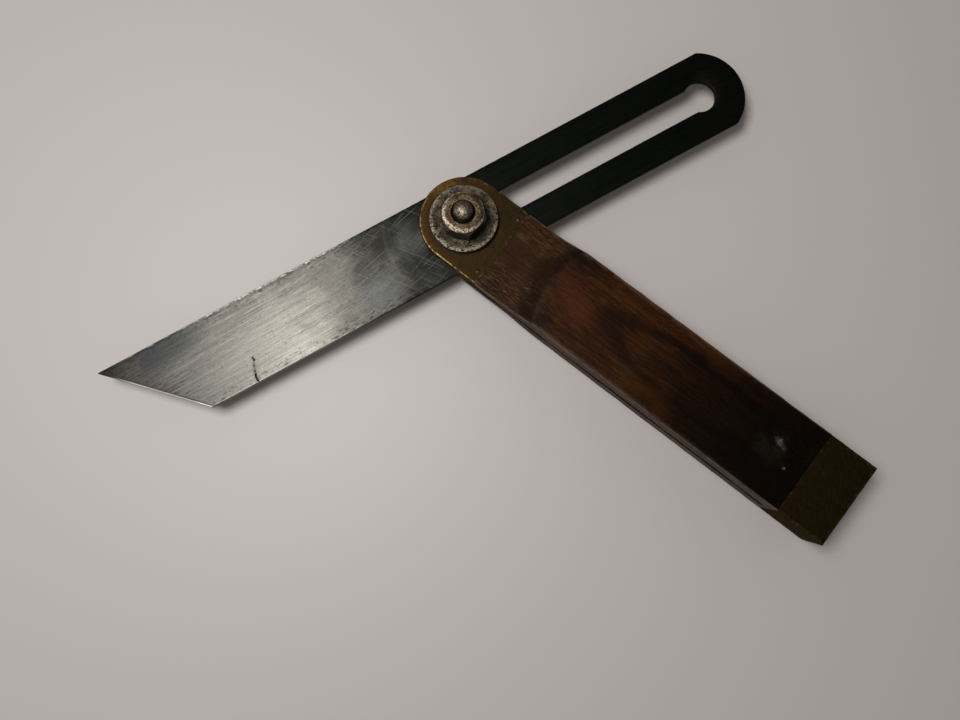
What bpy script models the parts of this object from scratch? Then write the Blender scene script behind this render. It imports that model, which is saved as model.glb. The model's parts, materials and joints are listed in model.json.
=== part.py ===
"""Sliding bevel: a kerfed hardwood stock with brass bolster plates and a brass butt cap,
a slotted steel blade, and the screw, washer and nut that clamp the blade at any angle.

Everything is laid out from the pivot, the axis of the clamp screw. The pivot empty stands in the
middle of the stock's thickness. +X runs along the stock to its butt and +Z up towards the nut.
The world's origin is the middle of the flat underside that the stock rests on.
"""
import math

import bmesh
import bpy
from mathutils import Matrix, Vector

MM = 0.001

# Gaps between separate pieces
seat_gap = 0.3 * MM
pin_gap = 0.15 * MM
overrun = 2.0 * MM

# Stock: a wooden bar, thick along the grip and thin at the pivot
stock_width = 25.6 * MM
grip_thickness = 15.0 * MM
pivot_to_butt = 130.1 * MM
stock_arris = 0.7 * MM

# The shoulder between neck and grip: a hollow swept round a centre on the butt's side
crest_reach = 28.9 * MM
crest_radius = 22.5 * MM
cove_length = 9.0 * MM

# Bolster plates, let flush into both faces of the neck
plate_thickness = 1.3 * MM
plate_reach = 13.8 * MM
plate_arris = 0.35 * MM
cheek_thickness = 1.3 * MM
plate_pin_diameter = 1.1 * MM
plate_pin_from_line = 1.7 * MM
plate_pin_from_edge = 3.4 * MM

# Butt cap: a brass block with a tongue that is let into the end of the wood
cap_length = 14.85 * MM
tongue_length = 8.0 * MM
tongue_width = 12.0 * MM
tongue_thickness = 3.2 * MM
cap_pin_diameter = 1.3 * MM
cap_pin_from_line = 5.0 * MM
cap_pin_off_centre = -2.5 * MM

# Blade
blade_length = 203.2 * MM
blade_width = 24.3 * MM
blade_thickness = 1.6 * MM
blade_tip_reach = 111.8 * MM
tail_flatness = 1.55 * MM
blade_arris = 0.2 * MM
kerf_clearance = 0.3 * MM
kerf_land = 5.9 * MM
slot_past_screw = 4.0 * MM
keyhole_from_tail = 13.2 * MM
keyhole_step = 0.85 * MM
blade_cut_angle = math.radians(45)
blade_rest_angle = math.radians(-113.5)

# Clamp screw, washer and nut
screw_diameter = 6.3 * MM
screw_play = 0.35 * MM
slot_play = 0.6 * MM
screw_stand_out = 2.4 * MM
screw_dome_height = 1.7 * MM
head_diameter = 12.4 * MM
head_to_table = 0.5 * MM
head_edge = 0.9 * MM
driver_slot_width = 1.4 * MM
driver_slot_share = 0.5
washer_diameter = 19.4 * MM
washer_thickness = 1.6 * MM
washer_play = 0.45 * MM
washer_edge = 0.3 * MM
nut_across_flats = 11.8 * MM
nut_height = 5.5 * MM
nut_thread_gap = 0.2 * MM
nut_face_inset = 0.15 * MM
nut_chamfer = 0.4 * MM
nut_countersink = 0.5 * MM
nut_rest_angle = math.radians(-38.3)

# How finely round shapes are cut
ROUND_STEPS = 64
SMALL_STEPS = 24
COVE_STEPS = 9
SWEEP_STEPS = 22
SWEEP_HALF_ANGLE = math.radians(76)
SHARP_ANGLE = math.radians(35)
NUT_CHAMFER_ANGLE = math.radians(30)

# Sizes that follow from those above
half_width = stock_width / 2
half_grip = grip_thickness / 2
half_kerf = blade_thickness / 2 + kerf_clearance
plate_bottom = half_kerf + cheek_thickness + seat_gap
half_neck = plate_bottom + plate_thickness
shoulder = half_grip - half_neck
cap_line = pivot_to_butt - cap_length
wood_end = cap_line - seat_gap
kerf_end = cap_line - kerf_land
screw_hole = screw_diameter + 2 * screw_play
slot_width = screw_diameter + 2 * slot_play
keyhole_radius = slot_width / 2 + keyhole_step
blade_tail_reach = blade_length - blade_tip_reach
blade_tail_radius = blade_width / 2 + tail_flatness
rest_centre = (crest_reach + pivot_to_butt) / 2


def clear_scene():
    for thing in list(bpy.data.objects):
        bpy.data.objects.remove(thing, do_unlink=True)


def finish_material(name, color, roughness, metallic):
    material = bpy.data.materials.new(name)
    material.use_nodes = True
    shader = material.node_tree.nodes["Principled BSDF"]
    shader.inputs["Base Color"].default_value = (*color, 1.0)
    shader.inputs["Roughness"].default_value = roughness
    shader.inputs["Metallic"].default_value = metallic
    material.diffuse_color = (*color, 1.0)
    return material


def add_empty(name, parent=None, location=(0, 0, 0), turn=0.0):
    empty = bpy.data.objects.new(name, None)
    empty.location = location
    empty.rotation_euler = (0, 0, turn)
    empty.parent = parent
    bpy.context.scene.collection.objects.link(empty)
    return empty


def add_object(name, bm, parent, material=None):
    """Turn a bmesh into an object; without a material it is a cutter, left out of the model."""
    bmesh.ops.recalc_face_normals(bm, faces=bm.faces)
    mesh = bpy.data.meshes.new(name)
    bm.to_mesh(mesh)
    bm.free()
    mesh.shade_smooth()
    mesh.set_sharp_from_angle(angle=SHARP_ANGLE)
    thing = bpy.data.objects.new(name, mesh)
    thing.parent = parent
    bpy.context.scene.collection.objects.link(thing)
    if material:
        mesh.materials.append(material)
    else:
        thing.hide_render = True
        thing.display_type = "WIRE"
    return thing


def cut(target, cutter):
    modifier = target.modifiers.new(cutter.name, "BOOLEAN")
    modifier.operation = "DIFFERENCE"
    modifier.solver = "EXACT"
    modifier.object = cutter


def slab(outline, low, high):
    """A flat plate: the outline's points filled as one face and extruded from low to high."""
    bm = bmesh.new()
    corners = [bm.verts.new((x, y, low)) for x, y in outline]
    face = bm.faces.new(corners)
    grown = bmesh.ops.extrude_face_region(bm, geom=[face])
    raised = [part for part in grown["geom"] if isinstance(part, bmesh.types.BMVert)]
    bmesh.ops.translate(bm, verts=raised, vec=(0, 0, high - low))
    return bm


def box(low, high):
    bm = bmesh.new()
    bmesh.ops.create_cube(bm, size=1.0)
    low, high = Vector(low), Vector(high)
    bmesh.ops.scale(bm, verts=bm.verts, vec=high - low)
    bmesh.ops.translate(bm, verts=bm.verts, vec=(low + high) / 2)
    return bm


def turned(profile, steps=ROUND_STEPS):
    """Spin a profile of (radius, height) points about the Z axis; a point at radius zero closes an end."""
    bm = bmesh.new()
    points = [bm.verts.new((radius, 0, height)) for radius, height in profile]
    edges = [bm.edges.new(pair) for pair in zip(points, points[1:])]
    if profile[0][0] > 0:
        edges.append(bm.edges.new((points[-1], points[0])))
    bmesh.ops.spin(bm, geom=points + edges, cent=(0, 0, 0), axis=(0, 0, 1), angle=math.tau,
                   steps=steps, use_merge=True)
    bmesh.ops.remove_doubles(bm, verts=bm.verts, dist=pin_gap / ROUND_STEPS)
    return bm


def rod(radius, low, high, x=0.0, y=0.0, steps=SMALL_STEPS):
    bm = turned([(0, low), (radius, low), (radius, high), (0, high)], steps)
    bmesh.ops.translate(bm, verts=bm.verts, vec=(x, y, 0))
    return bm


def arc(centre_x, centre_y, radius, start, end, steps):
    """Points round an arc, both ends included, with angles in radians."""
    turns = [start + (end - start) * step / steps for step in range(steps + 1)]
    return [(centre_x + radius * math.cos(turn), centre_y + radius * math.sin(turn)) for turn in turns]


def round_ended(front, half, steps=ROUND_STEPS // 2):
    """The stock's plan: square at the front, with a half circle round the pivot at the back."""
    return [(front, -half), (front, half)] + arc(0, 0, half, math.pi / 2, math.pi * 3 / 2, steps)


def ease_flat_edges(bm, width, keep=None):
    """Round the arrises between the flat faces and the sides, leaving out those that keep names."""
    bm.normal_update()
    chosen = []
    for edge in bm.edges:
        flats = [face for face in edge.link_faces if abs(face.normal.z) > math.cos(SHARP_ANGLE)]
        if len(flats) == 1 and not (keep and keep(edge)):
            chosen.append(edge)
    bmesh.ops.bevel(bm, geom=chosen, offset=width, offset_type="OFFSET", segments=2, profile=0.5,
                    affect="EDGES", material=-1)


def cove_cutter(name, parent, side):
    """What is cut from one face to leave the neck: a hollow profile swept round the crest's centre."""
    centre_x = crest_reach + crest_radius
    reach = centre_x + half_width + overrun
    cove_radius = (cove_length ** 2 + shoulder ** 2) / (2 * shoulder)
    foot = crest_radius + cove_length
    climb = math.asin(cove_length / cove_radius)
    hollow = arc(foot, half_neck + cove_radius, cove_radius, -math.pi / 2, -math.pi / 2 - climb, COVE_STEPS)
    top = half_grip + overrun
    profile = [(reach, half_neck)] + hollow + [(crest_radius, top), (reach, top)]
    bm = bmesh.new()
    corners = [bm.verts.new((-radius, 0, height * side)) for radius, height in profile]
    face = bm.faces.new(corners)
    bmesh.ops.rotate(bm, verts=bm.verts, cent=(0, 0, 0), matrix=Matrix.Rotation(-SWEEP_HALF_ANGLE, 3, "Z"))
    bmesh.ops.spin(bm, geom=[face] + list(face.edges) + corners, cent=(0, 0, 0), axis=(0, 0, 1),
                   angle=2 * SWEEP_HALF_ANGLE, steps=SWEEP_STEPS, use_merge=False)
    bmesh.ops.holes_fill(bm, edges=bm.edges, sides=0)
    bmesh.ops.translate(bm, verts=bm.verts, vec=(centre_x, 0, 0))
    return add_object(name, bm, parent)


def build_stock(pivot, wood):
    """The wooden stock: a bar rounded at the pivot, coved on both faces, slotted down its middle."""
    bm = slab(round_ended(wood_end, half_width), -half_grip, half_grip)
    ease_flat_edges(bm, stock_arris, keep=lambda edge: all(vert.co.x > kerf_end for vert in edge.verts))
    stock = add_object("stock", bm, pivot, wood)

    for side, name in ((1, "upper"), (-1, "lower")):
        cut(stock, cove_cutter(name + "_cove_cutter", pivot, side))
        seat = sorted((side * (half_neck - plate_thickness - seat_gap), side * (half_neck + overrun)))
        rebate = box((-half_width - overrun, -half_width - overrun, seat[0]),
                     (plate_reach + seat_gap, half_width + overrun, seat[1]))
        cut(stock, add_object(name + "_rebate_cutter", rebate, pivot))
        for number, pin_y in enumerate(plate_pin_rows(), 1):
            ends = sorted((side * (half_kerf + pin_gap), side * (half_neck + overrun)))
            hole = rod(plate_pin_diameter / 2 + pin_gap, ends[0], ends[1], plate_pin_x(), pin_y)
            cut(stock, add_object(f"{name}_pin_hole_cutter_{number}", hole, pivot))

    kerf = box((-half_width - overrun, -half_width - overrun, -half_kerf),
               (kerf_end, half_width + overrun, half_kerf))
    cut(stock, add_object("kerf_cutter", kerf, pivot))
    bore = rod(screw_hole / 2, -half_grip, half_grip, steps=ROUND_STEPS)
    cut(stock, add_object("screw_bore_cutter", bore, pivot))
    mortise_half = (tongue_width / 2 + seat_gap, tongue_thickness / 2 + seat_gap)
    mortise = box((cap_line - tongue_length - seat_gap, -mortise_half[0], -mortise_half[1]),
                  (wood_end + overrun, *mortise_half))
    cut(stock, add_object("mortise_cutter", mortise, pivot))
    pin_hole = rod(cap_pin_diameter / 2 + pin_gap, -half_grip - overrun, half_grip + overrun,
                   cap_line - cap_pin_from_line, cap_pin_off_centre)
    cut(stock, add_object("cap_pin_hole_cutter", pin_hole, pivot))
    return stock


def plate_pin_x():
    return plate_reach - plate_pin_from_line


def plate_pin_rows():
    edge = half_width - plate_pin_from_edge
    return -edge, edge


def build_bolster_plate(name, pivot, side, brass):
    """A brass plate with the neck's own outline, flush with the wood and bored for screw and pins."""
    low, high = sorted((side * plate_bottom, side * half_neck))
    bm = slab(round_ended(plate_reach, half_width), low, high)
    outer = side * half_neck
    ease_flat_edges(bm, plate_arris, keep=lambda edge: abs(edge.verts[0].co.z - outer) > plate_thickness / 2)
    plate = add_object(name, bm, pivot, brass)
    bore = rod(screw_hole / 2, low - overrun, high + overrun, steps=ROUND_STEPS)
    cut(plate, add_object(name + "_bore_cutter", bore, pivot))
    for number, pin_y in enumerate(plate_pin_rows(), 1):
        hole = rod(plate_pin_diameter / 2 + pin_gap, low - overrun, high + overrun, plate_pin_x(), pin_y)
        cut(plate, add_object(f"{name}_pin_cutter_{number}", hole, pivot))
    return plate


def build_plate_pin(name, pivot, side, pin_y, brass):
    """A short pin, flush with its plate, whose foot stops in the wood short of the kerf."""
    foot = half_kerf + seat_gap + pin_gap
    low, high = sorted((side * foot, side * half_neck))
    pin = rod(plate_pin_diameter / 2, low, high, plate_pin_x(), pin_y)
    return add_object(name, pin, pivot, brass)


def build_butt_cap(pivot, brass):
    """A brass block that ends the stock, drawn out into a tongue and bored for its cross pin."""
    bm = box((cap_line, -half_width, -half_grip), (pivot_to_butt, half_width, half_grip))
    bm.normal_update()
    joint = [edge for edge in bm.edges if all(vert.co.x < cap_line + seat_gap for vert in edge.verts)]
    eased = [edge for edge in bm.edges if edge not in joint]
    upright = [edge for edge in eased if abs(edge.verts[0].co.z - edge.verts[1].co.z) > half_grip]
    flat = [edge for edge in eased if edge not in upright]
    bmesh.ops.bevel(bm, geom=flat, offset=stock_arris, offset_type="OFFSET", segments=2, profile=0.5,
                    affect="EDGES", material=-1)
    ends = [face for face in bm.faces if face.normal.x < -math.cos(SHARP_ANGLE)]
    front = max(ends, key=lambda face: face.calc_area())
    inner = tongue_outline(bm, front)
    grown = bmesh.ops.extrude_face_region(bm, geom=[inner])
    drawn = [part for part in grown["geom"] if isinstance(part, bmesh.types.BMVert)]
    bmesh.ops.translate(bm, verts=drawn, vec=(-tongue_length, 0, 0))
    bmesh.ops.delete(bm, geom=[inner], context="FACES_ONLY")
    cap = add_object("butt_cap", bm, pivot, brass)
    hole = rod(cap_pin_diameter / 2 + pin_gap, -half_grip, half_grip,
               cap_line - cap_pin_from_line, cap_pin_off_centre)
    cut(cap, add_object("tongue_pin_cutter", hole, pivot))
    return cap


def tongue_outline(bm, front):
    """Inset the block's front face and draw its inner face in to the tongue's width and thickness."""
    margin = (half_grip - tongue_thickness / 2) / 2
    bmesh.ops.inset_individual(bm, faces=[front], thickness=margin, depth=0)
    for vert in front.verts:
        vert.co.y = math.copysign(tongue_width / 2, vert.co.y)
        vert.co.z = math.copysign(tongue_thickness / 2, vert.co.z)
    return front


def build_butt_cap_pin(pivot, brass):
    """The pin that crosses the wood and the cap's tongue, flush with both faces."""
    bm = rod(cap_pin_diameter / 2, -half_grip, half_grip, cap_line - cap_pin_from_line, cap_pin_off_centre)
    return add_object("butt_cap_pin", bm, pivot, brass)


def blade_outline():
    """The blade's plan about the screw, its tip at +X: one slanted end and one rounded end."""
    half = blade_width / 2
    centre = -blade_tail_reach + blade_tail_radius
    spread = math.asin(half / blade_tail_radius)
    heel = blade_tip_reach - blade_width / math.tan(blade_cut_angle)
    tail = arc(centre, 0, blade_tail_radius, math.pi - spread, math.pi + spread, ROUND_STEPS // 2)
    return [(blade_tip_reach, -half), (heel, half)] + tail


def slot_outline():
    """The slot's plan: a rounded inner end and a round keyhole at the blade's tail."""
    half = slot_width / 2
    keyhole = -blade_tail_reach + keyhole_from_tail
    spread = math.asin(half / keyhole_radius)
    inner = arc(slot_past_screw, 0, half, -math.pi / 2, math.pi / 2, SMALL_STEPS // 2)
    round_hole = arc(keyhole, 0, keyhole_radius, spread, math.tau - spread, ROUND_STEPS // 2)
    return inner + round_hole


def build_blade(slide, steel):
    bm = slab(blade_outline(), -blade_thickness / 2, blade_thickness / 2)
    ease_flat_edges(bm, blade_arris)
    blade = add_object("blade", bm, slide, steel)
    slot = slab(slot_outline(), -blade_thickness, blade_thickness)
    cut(blade, add_object("slot_cutter", slot, slide))
    return blade


def build_clamp_screw(pivot, steel):
    """The screw: a slotted head under the stock, and a shank whose domed end stands above the nut."""
    radius = screw_diameter / 2
    head_top = -half_neck - seat_gap
    head_bottom = -half_grip + head_to_table
    end = nut_top() + screw_stand_out
    dome_start = end - screw_dome_height
    dome = [(radius * math.cos(turn), dome_start + screw_dome_height * math.sin(turn))
            for turn in (math.pi / 2 * step / COVE_STEPS for step in range(COVE_STEPS))]
    head_radius = head_diameter / 2
    head = [(0, head_bottom), (head_radius - head_edge, head_bottom), (head_radius, head_bottom + head_edge),
            (head_radius, head_top), (radius, head_top)]
    screw = add_object("clamp_screw", turned(head + dome + [(0, end)]), pivot, steel)
    driver_slot_depth = (head_top - head_bottom) * driver_slot_share
    slot = box((-head_diameter, -driver_slot_width / 2, head_bottom - overrun),
               (head_diameter, driver_slot_width / 2, head_bottom + driver_slot_depth))
    cut(screw, add_object("driver_slot_cutter", slot, pivot))
    return screw


def washer_bottom():
    return half_neck + seat_gap


def nut_bottom():
    return washer_bottom() + washer_thickness + seat_gap


def nut_top():
    return nut_bottom() + nut_height


def build_washer(pivot, steel):
    outer = washer_diameter / 2
    inner = screw_diameter / 2 + washer_play
    low = washer_bottom()
    high = low + washer_thickness
    profile = [(inner, low), (outer, low), (outer, high - washer_edge),
               (outer - washer_edge, high), (inner, high)]
    return add_object("washer", turned(profile), pivot, steel)


def build_nut(turn, steel):
    """The nut: a hexagonal prism, its top turned down to a round face, with a plain bore."""
    low, high = nut_bottom(), nut_top()
    corner = nut_across_flats / 2 / math.cos(math.pi / 6)
    bm = bmesh.new()
    bmesh.ops.create_cone(bm, cap_ends=True, segments=6, radius1=corner, radius2=corner, depth=high - low)
    bmesh.ops.translate(bm, verts=bm.verts, vec=(0, 0, (low + high) / 2))
    first = max(bm.verts, key=lambda vert: vert.co.x)
    start = math.atan2(first.co.y, first.co.x)
    bmesh.ops.rotate(bm, verts=bm.verts, cent=(0, 0, 0), matrix=Matrix.Rotation(-start, 3, "Z"))
    nut = add_object("nut", bm, turn, steel)
    face_radius = nut_across_flats / 2 - nut_face_inset
    outside = corner + overrun
    drop = (corner - face_radius) * math.tan(NUT_CHAMFER_ANGLE) + nut_chamfer
    ring = [(face_radius, high), (corner, high - drop), (outside, high - drop), (outside, high + overrun),
            (face_radius, high + overrun)]
    cut(nut, add_object("nut_chamfer_cutter", turned(ring), turn))
    bore = screw_diameter / 2 + nut_thread_gap
    hole = [(0, low - overrun), (bore, low - overrun), (bore, high - nut_countersink),
            (bore + nut_countersink + overrun, high + overrun), (0, high + overrun)]
    cut(nut, add_object("nut_bore_cutter", turned(hole), turn))
    return nut


def main():
    clear_scene()
    rosewood = finish_material("stock_wood", (0.10, 0.040, 0.022), 0.45, 0.0)
    brass = finish_material("aged_brass", (0.20, 0.145, 0.055), 0.5, 1.0)
    blade_steel = finish_material("blade_steel", (0.42, 0.41, 0.39), 0.38, 1.0)
    screw_steel = finish_material("screw_steel", (0.45, 0.43, 0.40), 0.42, 1.0)
    washer_steel = finish_material("washer_steel", (0.36, 0.35, 0.33), 0.6, 1.0)
    nut_steel = finish_material("nut_steel", (0.34, 0.29, 0.23), 0.5, 1.0)

    pivot = add_empty("pivot", location=(-rest_centre, 0, half_grip))
    build_stock(pivot, rosewood)
    for side, name in ((1, "upper"), (-1, "lower")):
        build_bolster_plate(name + "_bolster_plate", pivot, side, brass)
        for row, pin_y in zip(("near", "far"), plate_pin_rows()):
            build_plate_pin(f"{name}_plate_pin_{row}", pivot, side, pin_y, brass)
    build_butt_cap(pivot, brass)
    build_butt_cap_pin(pivot, brass)

    swing = add_empty("blade_swing", parent=pivot, turn=blade_rest_angle)
    build_blade(swing, blade_steel)
    build_clamp_screw(swing, screw_steel)
    build_washer(swing, washer_steel)
    nut_turn = add_empty("nut_turn", parent=pivot, turn=nut_rest_angle)
    build_nut(nut_turn, nut_steel)
    print(f"stock {(pivot_to_butt + half_width) / MM:.1f} mm long, blade {blade_length / MM:.1f} mm")


main()
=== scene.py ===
# %% [markdown]
# # The looks of an old sliding bevel
# A sliding bevel carries an angle from one piece of work to another. A slotted steel blade swings and
# slides in the saw kerf of a wooden stock, and a screw, a washer and a nut clamp it. This lesson
# dresses its plain CAD solids: every piece is modelled again with its worn arrises, and gets a finish
# that is worked out by shader nodes. The packed model is loaded first and never moved, so each new
# piece goes where the frame says.

# %% Load the frame
import json
import math
import bmesh
import bpy
from mathutils import Matrix, Vector, noise
from mathutils.kdtree import KDTree


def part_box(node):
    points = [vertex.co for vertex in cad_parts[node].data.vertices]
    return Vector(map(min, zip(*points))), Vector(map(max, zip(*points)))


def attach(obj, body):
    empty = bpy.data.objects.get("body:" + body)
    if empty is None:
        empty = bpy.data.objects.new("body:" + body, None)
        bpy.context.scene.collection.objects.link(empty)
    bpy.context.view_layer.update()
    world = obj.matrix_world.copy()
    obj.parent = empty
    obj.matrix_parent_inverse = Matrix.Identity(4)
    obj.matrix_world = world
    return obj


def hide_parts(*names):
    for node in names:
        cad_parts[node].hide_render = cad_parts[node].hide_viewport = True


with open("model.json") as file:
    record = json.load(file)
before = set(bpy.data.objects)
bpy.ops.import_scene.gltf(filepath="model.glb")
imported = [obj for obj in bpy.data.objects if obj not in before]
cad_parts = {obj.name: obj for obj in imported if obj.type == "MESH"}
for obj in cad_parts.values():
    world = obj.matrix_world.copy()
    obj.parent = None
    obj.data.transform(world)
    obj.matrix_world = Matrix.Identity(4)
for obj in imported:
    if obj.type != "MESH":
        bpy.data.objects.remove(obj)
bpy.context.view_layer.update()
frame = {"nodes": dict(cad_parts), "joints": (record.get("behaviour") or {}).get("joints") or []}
MM = 0.001
joints = {joint["name"]: joint for joint in frame["joints"]}
pivot = Vector(joints["blade_swing"]["pos_m"])
print("pieces in the frame:", len(frame["nodes"]), "pivot at", [round(part / MM, 2) for part in pivot])


# %% [markdown]
# ## Writing node trees
# The room, the table and every finish are node trees. A small class keeps such a tree readable: a
# method adds a node or two, and a value that is a socket is linked while any other is simply set.
# Patterns are laid out in millimetres from the pivot, so 0.3 means 0.3 mm on the real tool. Colours
# are laid over one another like coats of paint, each as far as its masks let it through.

# %% A helper that writes node trees
class Recipe:
    def __init__(self, tree):
        self.tree = tree

    def plug(self, value, socket):
        """Link a value that is a socket and set any other; a colour is given without its alpha."""
        if isinstance(value, bpy.types.NodeSocket):
            self.tree.links.new(value, socket)
        elif socket.type == "RGBA":
            socket.default_value = (*value, 1.0)
        else:
            socket.default_value = value

    def node(self, kind, inputs=None, **settings):
        node = self.tree.nodes.new(kind)
        for name, value in settings.items():
            setattr(node, name, value)
        for key, value in (inputs or {}).items():
            self.plug(value, node.inputs[key])
        return node

    def math(self, operation, *values):
        return self.node("ShaderNodeMath", dict(enumerate(values)), operation=operation).outputs[0]

    def chain(self, operation, first, *others):
        """One Math node after another, each taking in one more value."""
        for value in others:
            first = self.math(operation, first, value)
        return first

    def times(self, *values):
        return self.chain("MULTIPLY", *values)

    def plus(self, *values):
        return self.chain("ADD", *values)

    def minus(self, first, second):
        return self.math("SUBTRACT", first, second)

    def most(self, *values):
        return self.chain("MAXIMUM", *values)

    def least(self, *values):
        return self.chain("MINIMUM", *values)

    def unsigned(self, value):
        return self.math("ABSOLUTE", value)

    def sum_of(self, base, *layers):
        """A base value and on top of it each layer, times its own weight."""
        for layer, weight in layers:
            base = self.plus(base, self.times(layer, weight))
        return base

    def varied(self, base, *layers):
        """A base value moved up and down by noises, which count from their middle of 0.5."""
        return self.sum_of(base, *[(self.minus(layer, 0.5), weight) for layer, weight in layers])

    def vector_math(self, operation, *values):
        inputs = dict(enumerate(values))
        return self.node("ShaderNodeVectorMath", inputs, operation=operation).outputs[0]

    def stretched(self, place, factors):
        return self.vector_math("MULTIPLY", place, factors)

    def counted_in(self, place, size):
        """A place counted in steps of a size, which may be a socket."""
        inputs = {0: place, "Scale": self.math("DIVIDE", 1.0, size)}
        return self.node("ShaderNodeVectorMath", inputs, operation="SCALE").outputs[0]

    def rise(self, value, low, high):
        """A smooth step from 0 at low to 1 at high; low may be the larger one."""
        inputs = {"Value": value, "From Min": low, "From Max": high}
        return self.node("ShaderNodeMapRange", inputs, interpolation_type="SMOOTHSTEP").outputs[0]

    def window(self, value, opening, opened, closing, closed):
        """Whole between two values, with a smooth way up before them and a smooth way down after."""
        return self.times(self.rise(value, opening, opened), self.rise(value, closed, closing))

    def noise(self, place, detail=2.0, roughness=0.5, distortion=0.0):
        inputs = {"Vector": place, "Scale": 1.0, "Detail": detail, "Roughness": roughness,
                  "Distortion": distortion}
        return self.node("ShaderNodeTexNoise", inputs).outputs[0]

    def mix(self, factor, first, second):
        inputs = {0: factor, 6: first, 7: second}
        return self.node("ShaderNodeMix", inputs, data_type="RGBA").outputs[2]

    def coat(self, base, colour, *masks):
        """A colour laid over another, as far as all its masks let it through."""
        return self.mix(self.times(*masks), base, colour)

    def split(self, place):
        return self.node("ShaderNodeSeparateXYZ", {0: place}).outputs

    def join(self, x, y, z):
        return self.node("ShaderNodeCombineXYZ", {0: x, 1: y, 2: z}).outputs[0]

    def group(self, group, inputs):
        return self.node("ShaderNodeGroup", inputs, node_tree=group).outputs

    def colours(self, value, stops):
        """A colour ramp with stops of (position, colour)."""
        ramp = self.node("ShaderNodeValToRGB", {0: value})
        band = ramp.color_ramp
        while len(band.elements) < len(stops):
            band.elements.new(1.0)
        for element, (position, colour) in zip(band.elements, stops):
            element.position = position
            element.color = (*colour, 1.0)
        return ramp.outputs[0]

    def reach(self, place, centre=(0.0, 0.0, 0.0), scale=(1.0, 1.0, 1.0)):
        """How far a place lies from a centre, with each direction scaled by its own factor."""
        shift = self.stretched(self.vector_math("SUBTRACT", place, centre), scale)
        return self.node("ShaderNodeVectorMath", {0: shift}, operation="LENGTH").outputs["Value"]

    def wander(self, place, scale, size, detail=3.0):
        """A place moved about by smooth noise, up to half the size each way."""
        inputs = {"Vector": self.stretched(place, scale), "Scale": 1.0, "Detail": detail}
        cloud = self.node("ShaderNodeTexNoise", inputs).outputs[1]
        shift = self.stretched(self.vector_math("SUBTRACT", cloud, (0.5, 0.5, 0.5)), size)
        return self.vector_math("ADD", place, shift)

    def bump(self, height, distance, strength=1.0, normal=None):
        inputs = {"Height": height, "Distance": distance, "Strength": strength}
        if normal:
            inputs["Normal"] = normal
        return self.node("ShaderNodeBump", inputs).outputs[0]


print("a recipe's methods:", ", ".join(name for name in vars(Recipe) if name[0] != "_"))


# %% New groups and materials
def new_group(name, inputs, outputs):
    """An empty node group with named sockets: its recipe, its inputs and its output node."""
    tree = bpy.data.node_groups.new(name, "ShaderNodeTree")
    for socket, kind in inputs.items():
        tree.interface.new_socket(socket, in_out="INPUT", socket_type="NodeSocket" + kind)
    for socket, kind in outputs.items():
        tree.interface.new_socket(socket, in_out="OUTPUT", socket_type="NodeSocket" + kind)
    recipe = Recipe(tree)
    start = recipe.node("NodeGroupInput")
    end = recipe.node("NodeGroupOutput")
    return tree, recipe, start.outputs, end.inputs


def new_material(name, roughness, metallic):
    """A material with its recipe and its shader, whose roughness and metallic are set."""
    material = bpy.data.materials.new(name)
    material.use_nodes = True
    recipe = Recipe(material.node_tree)
    shader = material.node_tree.nodes["Principled BSDF"]
    shader.inputs["Roughness"].default_value = roughness
    shader.inputs["Metallic"].default_value = metallic
    return material, recipe, shader


def place_in_mm(recipe, turn=0.0):
    """Object coordinates in millimetres from the pivot, turned so that X runs along the piece."""
    spin = Matrix.Rotation(-turn, 3, "Z")
    shift = -(spin @ pivot) / MM
    coordinates = recipe.node("ShaderNodeTexCoord").outputs["Object"]
    inputs = {"Vector": coordinates, "Location": shift, "Rotation": (0, 0, -turn),
              "Scale": (1 / MM,) * 3}
    return recipe.node("ShaderNodeMapping", inputs).outputs[0]


def edge_distance(recipe):
    return recipe.node("ShaderNodeAttribute", attribute_name="from_edge").outputs["Fac"]


print("groups and materials start here, with places in millimetres from the pivot")


# %% [markdown]
# ## The camera
# The tool lies on a table and is seen from nearly straight above, 22 cm away, with a wide lens. That
# short distance matters: the nut stands 20 mm nearer to the lens than the table and looks larger for
# it, and the near side of the stock shows as a thin band. Place, turn and focal length were solved
# together from straight edges and circles of known size.

# %% Set up the camera
IMAGE_WIDTH = 960
SENSOR_WIDTH = 36.0
focal_pixels = 757.1
camera_place = Vector((44.309, -45.364, 219.943)) * MM
camera_turn = [math.radians(angle) for angle in (6.342, 0.761, 37.717)]

lens = bpy.data.cameras.new("camera")
lens.sensor_width = SENSOR_WIDTH
lens.lens = focal_pixels * SENSOR_WIDTH / IMAGE_WIDTH
camera = bpy.data.objects.new("camera", lens)
camera.location = Vector((pivot.x, 0, 0)) + camera_place
camera.rotation_euler = camera_turn
bpy.context.scene.collection.objects.link(camera)
bpy.context.scene.camera = camera
print(f"a {lens.lens:.1f} mm lens, {camera.location.z / MM:.0f} mm above the table")


# %% [markdown]
# ## Light and table
# Old steel is all reflection, so the light decides how it looks. One soft lamp hangs 44 cm above the
# table, to the left. Being so near, it throws shadows that grow towards the butt, and its mirror image
# falls beside the lower edge of the blade, which is brightest there and falls off both ways; the
# blade's
# colour paints that pattern in as well. The room around is pale near the horizon and dim straight up:
# whoever looks down at a tool shades it, and without that dim part dark wood and tarnished brass would
# look hazy. Where the camera sees the room itself, it is an even pale grey.

# %% Hang the lamp and dim the ceiling
LAMP_LENGTH = 0.19
LAMP_WIDTH = 0.16
LAMP_WATTS = 1.72
HORIZON = (0.38, 0.37, 0.355)
OVERHEAD = (0.06, 0.06, 0.06)
BACKDROP = (0.42, 0.41, 0.40)

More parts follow.
